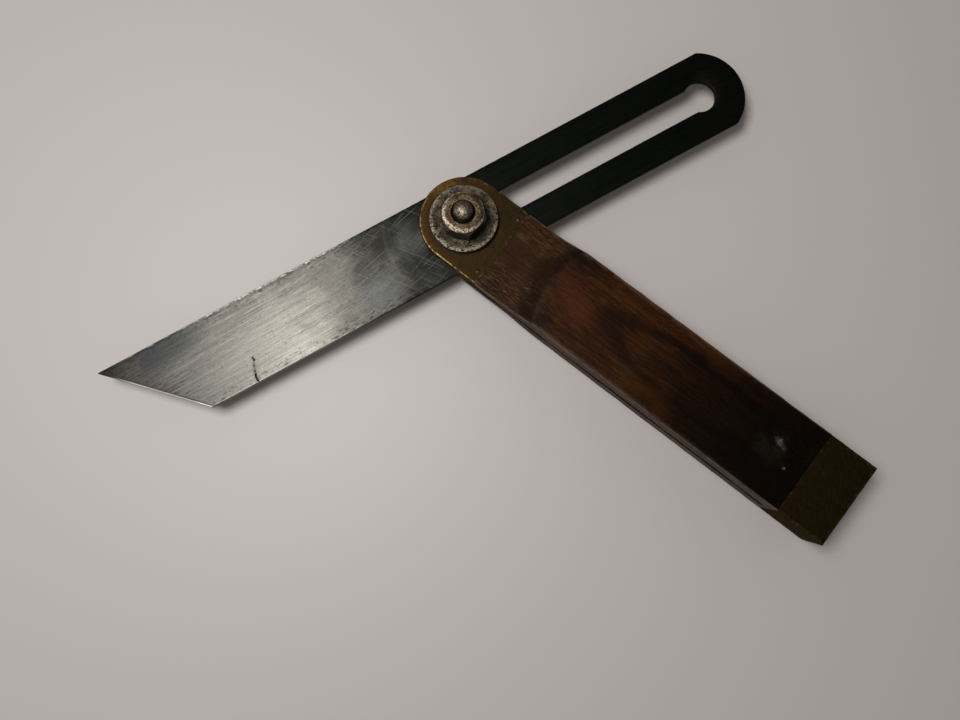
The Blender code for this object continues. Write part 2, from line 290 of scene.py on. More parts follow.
light = bpy.data.lights.new("soft_lamp", "AREA")
light.shape = "RECTANGLE"
light.size = LAMP_LENGTH
light.size_y = LAMP_WIDTH
light.energy = LAMP_WATTS
lamp = bpy.data.objects.new("soft_lamp", light)
lamp_place = pivot + Vector((-112.0, -78.0, 430.0)) * MM
lamp.location = lamp_place
lamp.rotation_euler = (pivot - lamp_place).to_track_quat("-Z", "Y").to_euler()
bpy.context.scene.collection.objects.link(lamp)

world = bpy.data.worlds.new("pale_room")
world.use_nodes = True
room = Recipe(world.node_tree)
upward = room.split(room.node("ShaderNodeTexCoord").outputs["Generated"])["Z"]
shades = room.mix(room.rise(upward, 0.45, 0.95), HORIZON, OVERHEAD)
seen = room.node("ShaderNodeLightPath").outputs["Is Camera Ray"]
room.plug(room.mix(seen, shades, BACKDROP), world.node_tree.nodes["Background"].inputs["Color"])
bpy.context.scene.world = world
bpy.context.scene.view_settings.view_transform = "Standard"
print("one soft lamp", round(lamp_place.z / MM), "mm above the table")


# %% [markdown]
# The table is a plain pale sheet just under the tool. It is see-through from below, so that the
# tool's underside can be looked at too. For that view the underside also needs light, so only rays
# that come from the camera are stopped by the sheet, and the room lights the tool through it.

# %% Lay the table
TABLE_HALF = 1.5
TABLE_GAP = 0.05 * MM
TABLE_COLOUR = (0.48, 0.437, 0.415)
table_mesh = bmesh.new()
bmesh.ops.create_grid(table_mesh, x_segments=1, y_segments=1, size=TABLE_HALF)
bmesh.ops.translate(table_mesh, verts=table_mesh.verts, vec=(0, 0, -TABLE_GAP))
table_data = bpy.data.meshes.new("table")
table_mesh.to_mesh(table_data)
table_mesh.free()
table = bpy.data.objects.new("table", table_data)
bpy.context.scene.collection.objects.link(table)
table_paint, sheet, paint = new_material("pale_table", 0.5, 0.0)
sheet.plug(TABLE_COLOUR, paint.inputs["Base Color"])
from_below = sheet.node("ShaderNodeNewGeometry").outputs["Backfacing"]
seen = sheet.node("ShaderNodeLightPath").outputs["Is Camera Ray"]
see_through = sheet.most(from_below, sheet.minus(1.0, seen))
clear = sheet.node("ShaderNodeBsdfTransparent").outputs[0]
choice = sheet.node("ShaderNodeMixShader", {0: see_through, 1: paint.outputs[0], 2: clear})
sheet.plug(choice.outputs[0], sheet.tree.nodes["Material Output"].inputs["Surface"])
table_data.materials.append(table_paint)
print("a pale table", 2 * TABLE_HALF, "m wide")


# %% [markdown]
# ## Sizes
# The frame gives the outer sizes: each node's box, measured from the pivot, the axis of the clamp
# screw. What a box can't tell, such as the sweep of the shoulder, is named here in millimetres.

# %% Measure the frame
def from_pivot(node):
    low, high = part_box(node)
    return low - pivot, high - pivot


stock_high = from_pivot("stock")[1]
plate_low, plate_high = from_pivot("upper_bolster_plate")
cap_high = from_pivot("butt_cap")[1]
screw_low, screw_high = from_pivot("clamp_screw")
washer_low, washer_high = from_pivot("washer")
nut_low, nut_high = from_pivot("nut")
half_width = stock_high.y
half_grip = stock_high.z
half_neck = plate_high.z
plate_front = plate_high.x
plate_thickness = plate_high.z - plate_low.z
joint_gap = 0.04 * MM
cap_length = 14.85 * MM
wood_end = cap_high.x - cap_length - joint_gap
print(f"stock {2 * half_width / MM:.1f} mm wide, {2 * half_grip / MM:.1f} mm thick at the grip")
print(f"and {2 * half_neck / MM:.1f} mm at the neck")

blade_rest_angle = math.radians(-113.5)
half_kerf = 1.1 * MM
kerf_end = 109.35 * MM
crest_reach = 28.9 * MM
crest_radius = 22.5 * MM
cove_length = 9.0 * MM
foot_reach = crest_reach - cove_length
sweep_centre = crest_reach + crest_radius
plate_pin_x = 12.1 * MM
plate_pin_y = 9.4 * MM
cap_pin = Vector((110.25, -2.5)) * MM
struck_x = 104.0 * MM
struck_y = 2.0 * MM
screw_radius = 3.15 * MM
screw_bore = 3.5 * MM
overrun = 2.0 * MM


# %% [markdown]
# ## Tools for shaping
# Four small helpers do most of the modelling. The first pulls faces of a closed body outwards. The
# second cuts shapes out with exact booleans. The third slices a body along a grid of planes, because
# wear is stored on vertices and needs some everywhere. The fourth rounds chosen edges.

# %% Helpers for meshes
MERGE = 0.000002
CORNER_ANGLE = math.radians(50)


def region(faces):
    """Faces with their own edges and corners, each once and in order."""
    edges = dict.fromkeys(edge for face in faces for edge in face.edges)
    verts = dict.fromkeys(vert for face in faces for vert in face.verts)
    return list(faces) + list(edges) + list(verts)


def pull(bm, faces, shift):
    """Extrude faces by a shift and return the faces at the far end."""
    grown = bmesh.ops.extrude_face_region(bm, geom=region(faces))["geom"]
    verts = [part for part in grown if isinstance(part, bmesh.types.BMVert)]
    bmesh.ops.translate(bm, verts=verts, vec=shift)
    return [part for part in grown if isinstance(part, bmesh.types.BMFace)]


def carve(bm, cutters):
    """Cut closed shapes out of a closed body with exact booleans."""
    names = ["carved"] + [f"cutter_{number}" for number in range(len(cutters))]
    things = []
    for name, shape in zip(names, [bm] + cutters):
        bmesh.ops.recalc_face_normals(shape, faces=shape.faces)
        mesh = bpy.data.meshes.new(name)
        shape.to_mesh(mesh)
        shape.free()
        things.append(bpy.data.objects.new(name, mesh))
        bpy.context.scene.collection.objects.link(things[-1])
    for cutter in things[1:]:
        modifier = things[0].modifiers.new(cutter.name, "BOOLEAN")
        modifier.operation = "DIFFERENCE"
        modifier.solver = "EXACT"
        modifier.object = cutter
    finished = things[0].evaluated_get(bpy.context.evaluated_depsgraph_get())
    result = bmesh.new()
    result.from_mesh(finished.to_mesh())
    finished.to_mesh_clear()
    for thing in things:
        bpy.data.objects.remove(thing, do_unlink=True)
    bmesh.ops.remove_doubles(result, verts=result.verts, dist=MERGE)
    return result


def slice_grid(bm, axis, start, end, spacing):
    """Cut every face along evenly spaced planes across one axis."""
    count = max(1, round((end - start) / spacing))
    normal = [0, 0, 0]
    normal[axis] = 1
    for step in range(1, count):
        point = [0, 0, 0]
        point[axis] = start + (end - start) * step / count
        everything = list(bm.verts) + list(bm.edges) + list(bm.faces)
        bmesh.ops.bisect_plane(bm, geom=everything, dist=MERGE / 4, plane_co=point, plane_no=normal)


def round_edges(bm, width, wanted, segments=3):
    """Bevel the edges that are sharper than the corner angle and that a test accepts."""
    bm.normal_update()
    chosen = [edge for edge in bm.edges if len(edge.link_faces) == 2
              and edge.calc_face_angle() > CORNER_ANGLE and wanted(edge)]
    bmesh.ops.bevel(bm, geom=chosen, offset=width, offset_type="OFFSET", segments=segments, profile=0.5,
                    affect="EDGES", material=-1)


def count_open(bm):
    """How many edges don't join exactly two faces; a closed body has none."""
    return sum(len(edge.link_faces) != 2 for edge in bm.edges)


def middle(edge):
    return (edge.verts[0].co + edge.verts[1].co) / 2


def turn_about_z(bm, angle):
    bmesh.ops.rotate(bm, verts=bm.verts, cent=(0, 0, 0), matrix=Matrix.Rotation(angle, 3, "Z"))


print("helpers for pulling, carving, slicing and rounding are ready")


# %% Helpers for simple shapes
def box(low, high):
    bm = bmesh.new()
    bmesh.ops.create_cube(bm, size=1.0)
    low, high = Vector(low), Vector(high)
    bmesh.ops.scale(bm, verts=bm.verts, vec=high - low)
    bmesh.ops.translate(bm, verts=bm.verts, vec=(low + high) / 2)
    return bm


def turned(profile, steps=96):
    """Spin a profile of (radius, height) points about the Z axis into a closed body."""
    bm = bmesh.new()
    points = [bm.verts.new((radius, 0, height)) for radius, height in profile]
    edges = [bm.edges.new(pair) for pair in zip(points, points[1:])]
    if profile[0][0] > 0:
        edges.append(bm.edges.new((points[-1], points[0])))
    bmesh.ops.spin(bm, geom=points + edges, cent=(0, 0, 0), axis=(0, 0, 1), angle=math.tau,
                   steps=steps, use_merge=True)
    bmesh.ops.remove_doubles(bm, verts=bm.verts, dist=MERGE)
    return bm


def rod(radius, low, high, x=0.0, y=0.0, steps=48):
    bm = turned([(0, low), (radius, low), (radius, high), (0, high)], steps)
    bmesh.ops.translate(bm, verts=bm.verts, vec=(x, y, 0))
    return bm


def arc(centre_x, centre_y, radius, start, end, steps):
    turns = [start + (end - start) * step / steps for step in range(steps + 1)]
    return [(centre_x + radius * math.cos(turn), centre_y + radius * math.sin(turn)) for turn in turns]


def slab(outline, low, high):
    """A flat plate: an outline filled as one face and pulled up."""
    bm = bmesh.new()
    face = bm.faces.new([bm.verts.new((x, y, low)) for x, y in outline])
    pull(bm, [face], (0, 0, high - low))
    return bm


print("boxes, turned bodies, rods and slabs can be made")


# %% [markdown]
# ## How wear is placed
# Hands and pockets rub a tool along its arrises. So each finished piece carries an attribute named
# from_edge: how far, in millimetres, each of its vertices lies from the nearest sharp edge of the CAD
# solid. The finishes of wood, brass, pins and blade read it. The same distances let the arrises be
# dented a few hundredths of a millimetre in the mesh, so that their highlights break up as they do on
# an old tool.

# %% Helpers for wear
EDGE_ANGLE = math.radians(22)
EDGE_SPACING = 0.4 * MM
SMOOTH_ANGLE = math.radians(32)


def edges_of(node):
    """A search tree of points along the sharp edges of a CAD node."""
    points = []
    bm = bmesh.new()
    bm.from_mesh(frame["nodes"][node].data)
    bmesh.ops.remove_doubles(bm, verts=bm.verts, dist=MERGE)
    for edge in bm.edges:
        if len(edge.link_faces) == 2 and edge.calc_face_angle() > EDGE_ANGLE:
            count = max(1, round(edge.calc_length() / EDGE_SPACING))
            start, end = edge.verts[0].co, edge.verts[1].co
            points += [start.lerp(end, step / count) for step in range(count + 1)]
    bm.free()
    tree = KDTree(len(points))
    for number, point in enumerate(points):
        tree.insert(point, number)
    tree.balance()
    return tree


def dent(bm, tree, depth, reach, grain):
    """Push the surface in near its edges by an uneven amount, at most the depth."""
    bm.normal_update()
    for vert in bm.verts:
        nearness = max(0.0, 1.0 - tree.find(vert.co)[2] / reach)
        hollow = max(0.0, noise.noise(vert.co / grain) + 0.35)
        vert.co -= vert.normal * depth * nearness * hollow


def finish_piece(name, bm, body, node, material, dents=None):
    """Set a shape at the pivot and make it a piece that rides on a body and stands for its CAD node.

    The dents are their depth, their reach from the edge and their grain, in millimetres."""
    bmesh.ops.translate(bm, verts=bm.verts, vec=pivot)
    tree = edges_of(node)
    if dents:
        dent(bm, tree, *[size * MM for size in dents])
    bmesh.ops.remove_doubles(bm, verts=bm.verts, dist=MERGE)
    bmesh.ops.holes_fill(bm, edges=[edge for edge in bm.edges if len(edge.link_faces) == 1], sides=6)
    bmesh.ops.recalc_face_normals(bm, faces=bm.faces)
    open_edges = count_open(bm)
    mesh = bpy.data.meshes.new(name)
    bm.to_mesh(mesh)
    bm.free()
    mesh.materials.append(material)
    mesh.shade_smooth()
    mesh.set_sharp_from_angle(angle=SMOOTH_ANGLE)
    wear = mesh.attributes.new("from_edge", "FLOAT", "POINT")
    wear.data.foreach_set("value", [tree.find(vert.co)[2] / MM for vert in mesh.vertices])
    piece = bpy.data.objects.new(name, mesh)
    bpy.context.scene.collection.objects.link(piece)
    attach(piece, body)
    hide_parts(node)
    print(f"{name}: {len(mesh.polygons)} faces, {open_edges} open edges")


# %% [markdown]
# ## Effects that several finishes share
# Four effects come up again and again on an old tool, so each is built once as a node group: hair
# scratches, a rubbed edge, pits, and the cloudy mottling of a skin of tarnish. A group gives only
# masks, values and heights. The shader stays in each material, where masks mix colours and roughness.

# %% Hair scratches
# Noise stretched far along one direction breaks into thin streaks; a threshold keeps the strongest.
scratches, recipe, start, end = new_group(
    "hair_scratches",
    {"Place": "Vector", "Angle": "Float", "Length": "Float", "Width": "Float", "Amount": "Float",
     "Seed": "Float"},
    {"Mask": "Float"})
turned_place = recipe.node("ShaderNodeVectorRotate",
                           {"Vector": start["Place"], "Angle": start["Angle"]},
                           rotation_type="Z_AXIS").outputs[0]
across = recipe.split(turned_place)
streak_place = recipe.join(recipe.math("DIVIDE", across[0], start["Length"]),
                           recipe.math("DIVIDE", across[1], start["Width"]),
                           recipe.plus(recipe.times(across[2], 0.2), start["Seed"]))
streaks = recipe.noise(streak_place, detail=1.0)
threshold = recipe.minus(0.82, recipe.times(start["Amount"], 0.3))
recipe.plug(recipe.rise(streaks, threshold, recipe.plus(threshold, 0.07)), end["Mask"])


def hair_scratches(recipe, place, angle, length, width, amount, seed):
    inputs = {"Place": place, "Angle": angle, "Length": length, "Width": width, "Amount": amount,
              "Seed": seed}
    return recipe.group(scratches, inputs)["Mask"]


print("hair scratches:", len(scratches.nodes), "nodes")

# %% Rubbed edges
# The distance from the arris is made uneven with noise, so the bright line comes and goes.
rubbed, recipe, start, end = new_group(
    "rubbed_edge",
    {"From Edge": "Float", "Place": "Vector", "Reach": "Float", "Grain": "Float",
     "Raggedness": "Float"},
    {"Mask": "Float"})
speckle = recipe.noise(recipe.counted_in(start["Place"], start["Grain"]), detail=4.0, roughness=0.65)
rubbed_distance = recipe.varied(start["From Edge"], (speckle, recipe.times(start["Raggedness"], 2.0)))
recipe.plug(recipe.rise(rubbed_distance, start["Reach"], 0.0), end["Mask"])


def rubbed_edge(recipe, place, from_edge, reach, grain, raggedness):
    inputs = {"Place": place, "From Edge": from_edge, "Reach": reach, "Grain": grain,
              "Raggedness": raggedness}
    return recipe.group(rubbed, inputs)["Mask"]


print("rubbed edge:", len(rubbed.nodes), "nodes")

# %% Pits
# Each cell of a Voronoi pattern may hold one pit; its random colour says how large it is.
pits, recipe, start, end = new_group(
    "pits",
    {"Place": "Vector", "Spacing": "Float", "Amount": "Float"},
    {"Mask": "Float", "Height": "Float"})
cell_place = recipe.counted_in(start["Place"], start["Spacing"])
wobble = recipe.node("ShaderNodeTexNoise",
                     {"Vector": cell_place, "Scale": 3.0, "Detail": 2.0}).outputs[1]
ragged_place = recipe.vector_math("ADD", cell_place, recipe.stretched(wobble, (0.35,) * 3))
cells = recipe.node("ShaderNodeTexVoronoi", {"Vector": ragged_place, "Scale": 1.0})
chance = recipe.split(cells.outputs["Color"])[0]
pit_size = recipe.times(recipe.rise(chance, recipe.minus(1.0, start["Amount"]), 1.0), 0.42)
pit = recipe.rise(cells.outputs["Distance"], pit_size, recipe.times(pit_size, 0.45))
pit = recipe.times(pit, recipe.rise(pit_size, 0.02, 0.06))
recipe.plug(pit, end["Mask"])
recipe.plug(recipe.times(pit, -1.0), end["Height"])
print("pits:", len(pits.nodes), "nodes")

# %% Mottling
# Two layers of noise, a broad one and a fine one, stand for the cloudy skin of tarnish.
mottling, recipe, start, end = new_group(
    "mottling",
    {"Place": "Vector", "Size": "Float", "Contrast": "Float"},
    {"Value": "Float"})
clouds = recipe.noise(recipe.counted_in(start["Place"], start["Size"]), detail=6.0, roughness=0.62,
                      distortion=0.4)
recipe.plug(recipe.varied(0.5, (clouds, start["Contrast"])), end["Value"])


def mottled(recipe, place, size, contrast):
    return recipe.group(mottling, {"Place": place, "Size": size, "Contrast": contrast})["Value"]


print("shared effects:", ", ".join(group.name for group in bpy.data.node_groups))


# %% [markdown]
# ## Finish of the stock: old rosewood
# The wood is reddish brown and fine grained. On the grip the saw went through the growth rings at a
# shallow angle, which shows as an arch that opens towards the butt. Wax and dirt have turned it
# nearly black from the middle of the grip onwards, and towards the butt part of that dark is painted
# shade. Painted shade darkens the hollow of the shoulder. The neck is rubbed paler, with dusty wavy
# grain, and near the butt a small dent carries a painted sheen and a painted highlight.
#
# The rings could be drawn from a real log's shape, but a stretched distance does as well: every ring
# is a place of equal distance from one point, with the length of the stock counted a quarter.

# %% The grain of the stock
WOOD_TONES = [(0.3, (0.0068, 0.0022, 0.0006)), (0.45, (0.0205, 0.0062, 0.0013)),
              (0.58, (0.037, 0.011, 0.0022)), (0.75, (0.067, 0.0235, 0.0055))]
DARK_RING = (0.007, 0.0026, 0.0008)
PALE_WOOD = (0.055, 0.021, 0.005)
RED_BROWN = (0.064, 0.0172, 0.0055)
WAX_DIRT_AND_SHADE = (0.0017, 0.001, 0.0002)
GOLD_BROWN = (0.046, 0.017, 0.003)
RUBBED_WOOD = (0.026, 0.0122, 0.0042)
PORE = (0.003, 0.0014, 0.0005)
DUST = (0.112, 0.073, 0.036)
WORN_WOOD = (0.115, 0.07, 0.042)
DENT_SHEEN = (0.021, 0.017, 0.013)
DENT_FLOOR_DARK = (0.003, 0.0022, 0.0016)
DENT_HIGHLIGHT = (0.06, 0.054, 0.047)
PALE_SIDE = (0.128, 0.09, 0.07)
KERF_SHADE = (0.0016, 0.0011, 0.0008)

wood, recipe, shader = new_material("stock_rosewood", 0.34, 0.0)
shader.inputs["Specular IOR Level"].default_value = 0.06
place = place_in_mm(recipe)
x, y, z = recipe.split(place)[0:3]
from_edge = edge_distance(recipe)
bent = recipe.wander(place, (0.07, 0.13, 0.13), (12.0, 4.5, 4.5))
drifted = recipe.wander(place, (0.1, 0.16, 0.16), (22.0, 10.0, 0.0), detail=5.0)
drifted_x = recipe.split(drifted)[0]

ring = recipe.reach(bent, (79.0, 0.5, 7.5), (0.25, 1.0, 0.8))
fine_rings = recipe.math("SINE", recipe.times(ring, 3.6))
streaks = recipe.noise(recipe.stretched(bent, (0.05, 1.7, 1.7)), detail=4.0, roughness=0.62)
fibres = recipe.noise(recipe.stretched(bent, (0.16, 4.2, 4.2)), detail=4.0, roughness=0.7)
speckle = recipe.noise(recipe.stretched(place, (1.3, 3.8, 3.8)), detail=3.0, roughness=0.8)
figure = recipe.varied(recipe.sum_of(streaks, (fine_rings, 0.025)), (fibres, 0.4))
figure = recipe.varied(recipe.sum_of(0.118, (figure, 0.76)), (speckle, 0.42))
timber = recipe.colours(figure, WOOD_TONES)
arch = recipe.window(ring, 5.0, 6.8, 7.5, 8.6)
timber = recipe.coat(timber, DARK_RING, arch, 0.72)
inside_arch = recipe.times(recipe.rise(ring, 6.4, 4.2), recipe.rise(x, 78.0, 66.0))
timber = recipe.coat(timber, PALE_WOOD, inside_arch, 0.15)
print("the arch opens towards the butt, its crown 47 mm from the pivot")


# %% Red and golden patches, dirt, painted shade and the black butt
def spot(recipe, place, centre, size, edge=0.5):
    """A soft oval patch: 1 in its middle and 0 at its size, in millimetres."""
    distance = recipe.reach(place, (*centre, 0.0), (1 / size[0], 1 / size[1], 0.0))
    return recipe.rise(distance, 1.0, 1.0 - edge)


red_patch = spot(recipe, drifted, (39.5, -1.5), (10.0, 8.5), 0.9)
timber = recipe.coat(timber, RED_BROWN, red_patch, 0.5)
gold_patch = recipe.most(spot(recipe, drifted, (66.0, -8.5), (14.0, 5.0), 0.9),
                         spot(recipe, drifted, (76.0, 10.5), (14.0, 4.0), 0.9))
# Dark wax and dirt from the middle of the grip on; towards the butt part of this dark is painted shade.
far_lead = recipe.most(recipe.minus(y, 5.0), 0.0)
into_dark = recipe.minus(drifted_x, far_lead)
blackness = recipe.plus(recipe.times(recipe.rise(into_dark, 55.0, 78.0), 0.76),
                        recipe.times(recipe.rise(into_dark, 78.0, 106.0), 0.21))
# Painted shade darkens the hollow of the shoulder, just in front of its crest.
crest_place = recipe.wander(recipe.join(x, y, 0.0), (0.25, 0.25, 0.0), (3.0, 3.0, 0.0), detail=4.0)
crest_distance = recipe.reach(crest_place, (sweep_centre / MM, 0.0, 0.0))
in_hollow = recipe.times(recipe.window(crest_distance, 20.0, 22.9, 23.9, 29.0),
                         recipe.rise(x, 46.0, 40.0))
dark_patch = recipe.most(spot(recipe, drifted, (32.0, 11.0), (13.0, 5.5), 0.9),
                         spot(recipe, drifted, (34.0, -11.0), (6.0, 6.0), 0.9),
                         spot(recipe, drifted, (15.0, -12.0), (10.0, 6.0), 0.9))
dirt_and_shade = recipe.most(recipe.times(in_hollow, 0.7), blackness, recipe.times(dark_patch, 0.66))
timber = recipe.coat(timber, WAX_DIRT_AND_SHADE, dirt_and_shade)
timber = recipe.coat(timber, GOLD_BROWN, gold_patch, 0.45)
print("patches and dirt added")

# %% The rubbed neck, pores and worn arrises
neck = recipe.rise(drifted_x, 33.0, 23.0)
timber = recipe.coat(timber, RUBBED_WOOD, neck, 0.4)
pore_cells = recipe.node("ShaderNodeTexVoronoi",
                         {"Vector": recipe.stretched(bent, (0.22, 2.6, 2.6)), "Scale": 1.0})
pores = recipe.rise(pore_cells.outputs["Distance"], 0.32, 0.12)
timber = recipe.coat(timber, PORE, pores, 0.7)
dust = hair_scratches(recipe, recipe.wander(place, (0.35, 0.35, 0.35), (1.6, 1.6, 0.0)),
                      angle=0.05, length=3.5, width=0.13, amount=0.78, seed=3.0)
dusty = recipe.times(neck, recipe.rise(recipe.unsigned(recipe.minus(y, 1.0)), 1.5, 6.0))
timber = recipe.coat(timber, DUST, dust, dusty, 0.7)
edge_wear = rubbed_edge(recipe, place, from_edge, reach=0.7, grain=2.2, raggedness=0.7)
on_side = recipe.rise(recipe.unsigned(y), 10.5, 12.2)
edge_wear = recipe.times(edge_wear, on_side, recipe.rise(x, 112.0, 50.0))
timber = recipe.coat(timber, WORN_WOOD, edge_wear, 0.35)
print("pores, dust and worn arrises added")

# %% The colours of the small dent
# It is gentle on the side of the pivot, so that side counts only half. A painted sheen lies round it,
# its floor is painted darker, and a short streak beside the middle is a painted highlight.
top_only = recipe.rise(z, 0.0, 1.0)
crumpled = recipe.wander(place, (0.5, 0.5, 0.5), (1.4, 1.4, 0.0), detail=2.0)
from_dent = recipe.vector_math("SUBTRACT", crumpled, (struck_x / MM, struck_y / MM, 0.0))
dent_x, dent_y = recipe.split(from_dent)[0:2]
ahead = recipe.most(dent_x, 0.0)
behind = recipe.times(recipe.least(dent_x, 0.0), 0.5)
dent_reach = recipe.reach(recipe.join(recipe.plus(ahead, behind), dent_y, 0.0))
dent_depth = recipe.times(recipe.rise(dent_reach, 2.6, 0.8), top_only)
# A painted sheen round the dent.
dent_sheen_mask = recipe.times(spot(recipe, drifted, (103.5, 0.5), (7.5, 6.0), 0.9), top_only,
                    recipe.rise(speckle, 0.2, 0.7))
timber = recipe.coat(timber, DENT_SHEEN, dent_sheen_mask, 0.45)
dent_floor = recipe.rise(recipe.reach(crumpled, (103.9, 1.2, 7.5), (0.8, 1.0, 0.0)), 1.5, 0.6)
timber = recipe.coat(timber, DENT_FLOOR_DARK, dent_floor, 0.7)
# A painted highlight: a short streak beside the dent's middle.
streak_centre = (105.7, 2.3, 0.0)
streak_turn = recipe.node("ShaderNodeVectorRotate",
                          {"Vector": crumpled, "Center": streak_centre, "Angle": math.radians(20)},
                          rotation_type="Z_AXIS").outputs[0]
dent_highlight_mask = recipe.rise(recipe.reach(streak_turn, streak_centre, (0.36, 0.95, 0.0)), 1.0, 0.3)
dent_highlight_mask = recipe.times(dent_highlight_mask, recipe.rise(speckle, 0.3, 0.62), top_only)
timber = recipe.coat(timber, DENT_HIGHLIGHT, dent_highlight_mask, 0.75)
print("the dent lies", round(struck_x / MM), "mm from the pivot")

# %% Paler sides, painted shade in the kerf, gloss and relief
# The side faces are painted paler, with streaks of grain.
on_face = recipe.rise(recipe.unsigned(y), 12.2, 12.7)
side_grain = recipe.sum_of(0.07, (recipe.rise(streaks, 0.36, 0.64), 0.7), (speckle, 0.34))
timber = recipe.coat(timber, PALE_SIDE, on_face, side_grain)
# Painted shade blackens the kerf and the saw line that runs on from it.
in_kerf = recipe.times(recipe.rise(recipe.unsigned(z), 1.3, 1.12), recipe.rise(x, 114.0, 113.5))
timber = recipe.coat(timber, KERF_SHADE, in_kerf, 0.95)
shine = spot(recipe, drifted, (104.5, 2.2), (5.0, 4.5), 0.6)
recipe.plug(timber, shader.inputs["Base Color"])

gloss = recipe.sum_of(0.28, (fibres, 0.2), (pores, 0.15), (recipe.most(neck, in_hollow), 0.25),
                      (on_face, 0.3), (shine, -0.1))
recipe.plug(gloss, shader.inputs["Roughness"])
relief = recipe.minus(recipe.times(fibres, 0.5), pores)
fine_relief = recipe.bump(relief, 0.04 * MM, 0.8)
waves = recipe.noise(recipe.stretched(place, (0.1, 0.22, 0.22)), detail=2.0)
wavy = recipe.bump(waves, 0.5 * MM, 0.3, fine_relief)
recipe.plug(recipe.bump(dent_depth, -0.25 * MM, 1.0, wavy), shader.inputs["Normal"])
print("rosewood:", len(wood.node_tree.nodes), "nodes")


# %% [markdown]
# ## The stock
# The real stock is one bar. Its end is sawn down the middle into two cheeks that grip the blade, the
# neck is hollowed down on both faces so that nut and screw head don't stand far out, and its nose is
# rounded about the pivot. A boolean could cut that hollow, but pulling a cross-section along in small
# steps gives even faces, whose arrises can then be rounded all along.

# %% Pull the bar and spin its nose
COLUMNS = 24
CHEEK_ROWS = 3
NOSE_STEPS = 40


def spaced(start, end, spacing):
    """Places after the start, up to the end, about one spacing apart."""
    count = max(1, round(abs(end - start) / spacing))
    return [start + (end - start) * step / count for step in range(1, count + 1)]


cheek = half_grip - half_kerf
cheek_heights = [half_kerf + cheek * row / CHEEK_ROWS for row in range(CHEEK_ROWS + 1)]
row_heights = [-height for height in reversed(cheek_heights)] + cheek_heights

bar = bmesh.new()
bmesh.ops.create_grid(bar, x_segments=COLUMNS, y_segments=2 * CHEEK_ROWS + 1, size=1)
for vert in bar.verts:
    row = round((vert.co.y + 1) / 2 * (2 * CHEEK_ROWS + 1))
    vert.co = (kerf_end, vert.co.x * half_width, row_heights[row])
butt = list(bar.faces)
for step_x in spaced(kerf_end, wood_end, 1.5 * MM):
    here = butt[0].verts[0].co.x
    butt = pull(bar, butt, (step_x - here, 0, 0))
cheeks = [face for face in bar.faces
          if abs(face.calc_center_median().x - kerf_end) < MERGE
          and abs(face.calc_center_median().z) > half_kerf and abs(face.normal.x) > 0.9]
stations = (spaced(kerf_end, 40 * MM, 1.3 * MM) + spaced(40 * MM, crest_reach + 2 * MM, 0.8 * MM)
            + spaced(crest_reach + 2 * MM, foot_reach, 0.4 * MM) + spaced(foot_reach, 0, 1.2 * MM))
here = kerf_end
for step_x in stations:
    cheeks = pull(bar, cheeks, (step_x - here, 0, 0))
    here = step_x
nose = [face for face in cheeks if face.calc_center_median().y > 0]
bmesh.ops.spin(bar, geom=region(nose), cent=(0, 0, 0), axis=(0, 0, 1), angle=math.pi, steps=NOSE_STEPS,
               use_merge=False)
bar.faces.ensure_lookup_table()
inside = [face for face in bar.faces if all(abs(vert.co.x) < MERGE for vert in face.verts)]
bmesh.ops.delete(bar, geom=inside, context="FACES")
bmesh.ops.remove_doubles(bar, verts=bar.verts, dist=MERGE)
bmesh.ops.dissolve_degenerate(bar, edges=bar.edges, dist=MERGE)
print("the bar has", len(bar.faces), "faces and", count_open(bar), "open edges")


# %% [markdown]
# On both edges the saw has left a shallow line that runs on from the kerf almost to the cap. Its faces
# are there already, so they are pushed in by the width of one column. The line's own end wall then
# lies on the outermost strip of the kerf's end. Both are deleted, and the line opens into the kerf.

# %% Run the saw line on towards the cap
line_depth = 2 * half_width / COLUMNS
line_end = wood_end - 1.2 * MM


def all_between(face, low, high):
    """Whether every corner of a face lies in a box that is the same on both sides of the middle."""
    corners = [(vert.co.x, abs(vert.co.y), abs(vert.co.z)) for vert in face.verts]
    return all(low[axis] - MERGE < corner[axis] < high[axis] + MERGE
               for corner in corners for axis in range(3))


for side in (1, -1):
    line = [face for face in bar.faces if side * face.calc_center_median().y > 0
            and all_between(face, (kerf_end, half_width, 0), (line_end, half_width, half_kerf))]
    pull(bar, line, (0, -side * line_depth, 0))
end_wall = ((kerf_end, half_width - line_depth, 0), (kerf_end, half_width, half_kerf))
doubled = [face for face in bar.faces if all_between(face, *end_wall)]
bmesh.ops.delete(bar, geom=doubled, context="FACES")
bmesh.ops.remove_doubles(bar, verts=bar.verts, dist=MERGE)
print("doubled faces deleted:", len(doubled), "and open edges:", count_open(bar))


# %% [markdown]
# Now the neck is drawn down. Each vertex keeps its share of the cheek's height while the height
# follows the cove's arc, and the stations near the shoulder are bent so that they follow the round
# crest. The crest itself is eased a little, as sandpaper and hands do.

# %% Draw down the neck
cove_depth = half_grip - half_neck
cove_radius = (cove_length ** 2 + cove_depth ** 2) / (2 * cove_depth)
crest_ease = 2.2 * MM
straight_again = 40 * MM


def soft_minimum(first, second, blend):
    """The smaller of two values, with the corner between them rounded over the blend."""
    overlap = max(0.0, blend - abs(first - second)) / blend
    return min(first, second) - overlap * overlap * blend / 4


def cheek_height(along):
    if along <= foot_reach:
        return half_neck
    climb = min(along - foot_reach, cove_radius)
    rising = half_neck + cove_radius - math.sqrt(cove_radius ** 2 - climb ** 2)
    return soft_minimum(rising, half_grip, crest_ease)


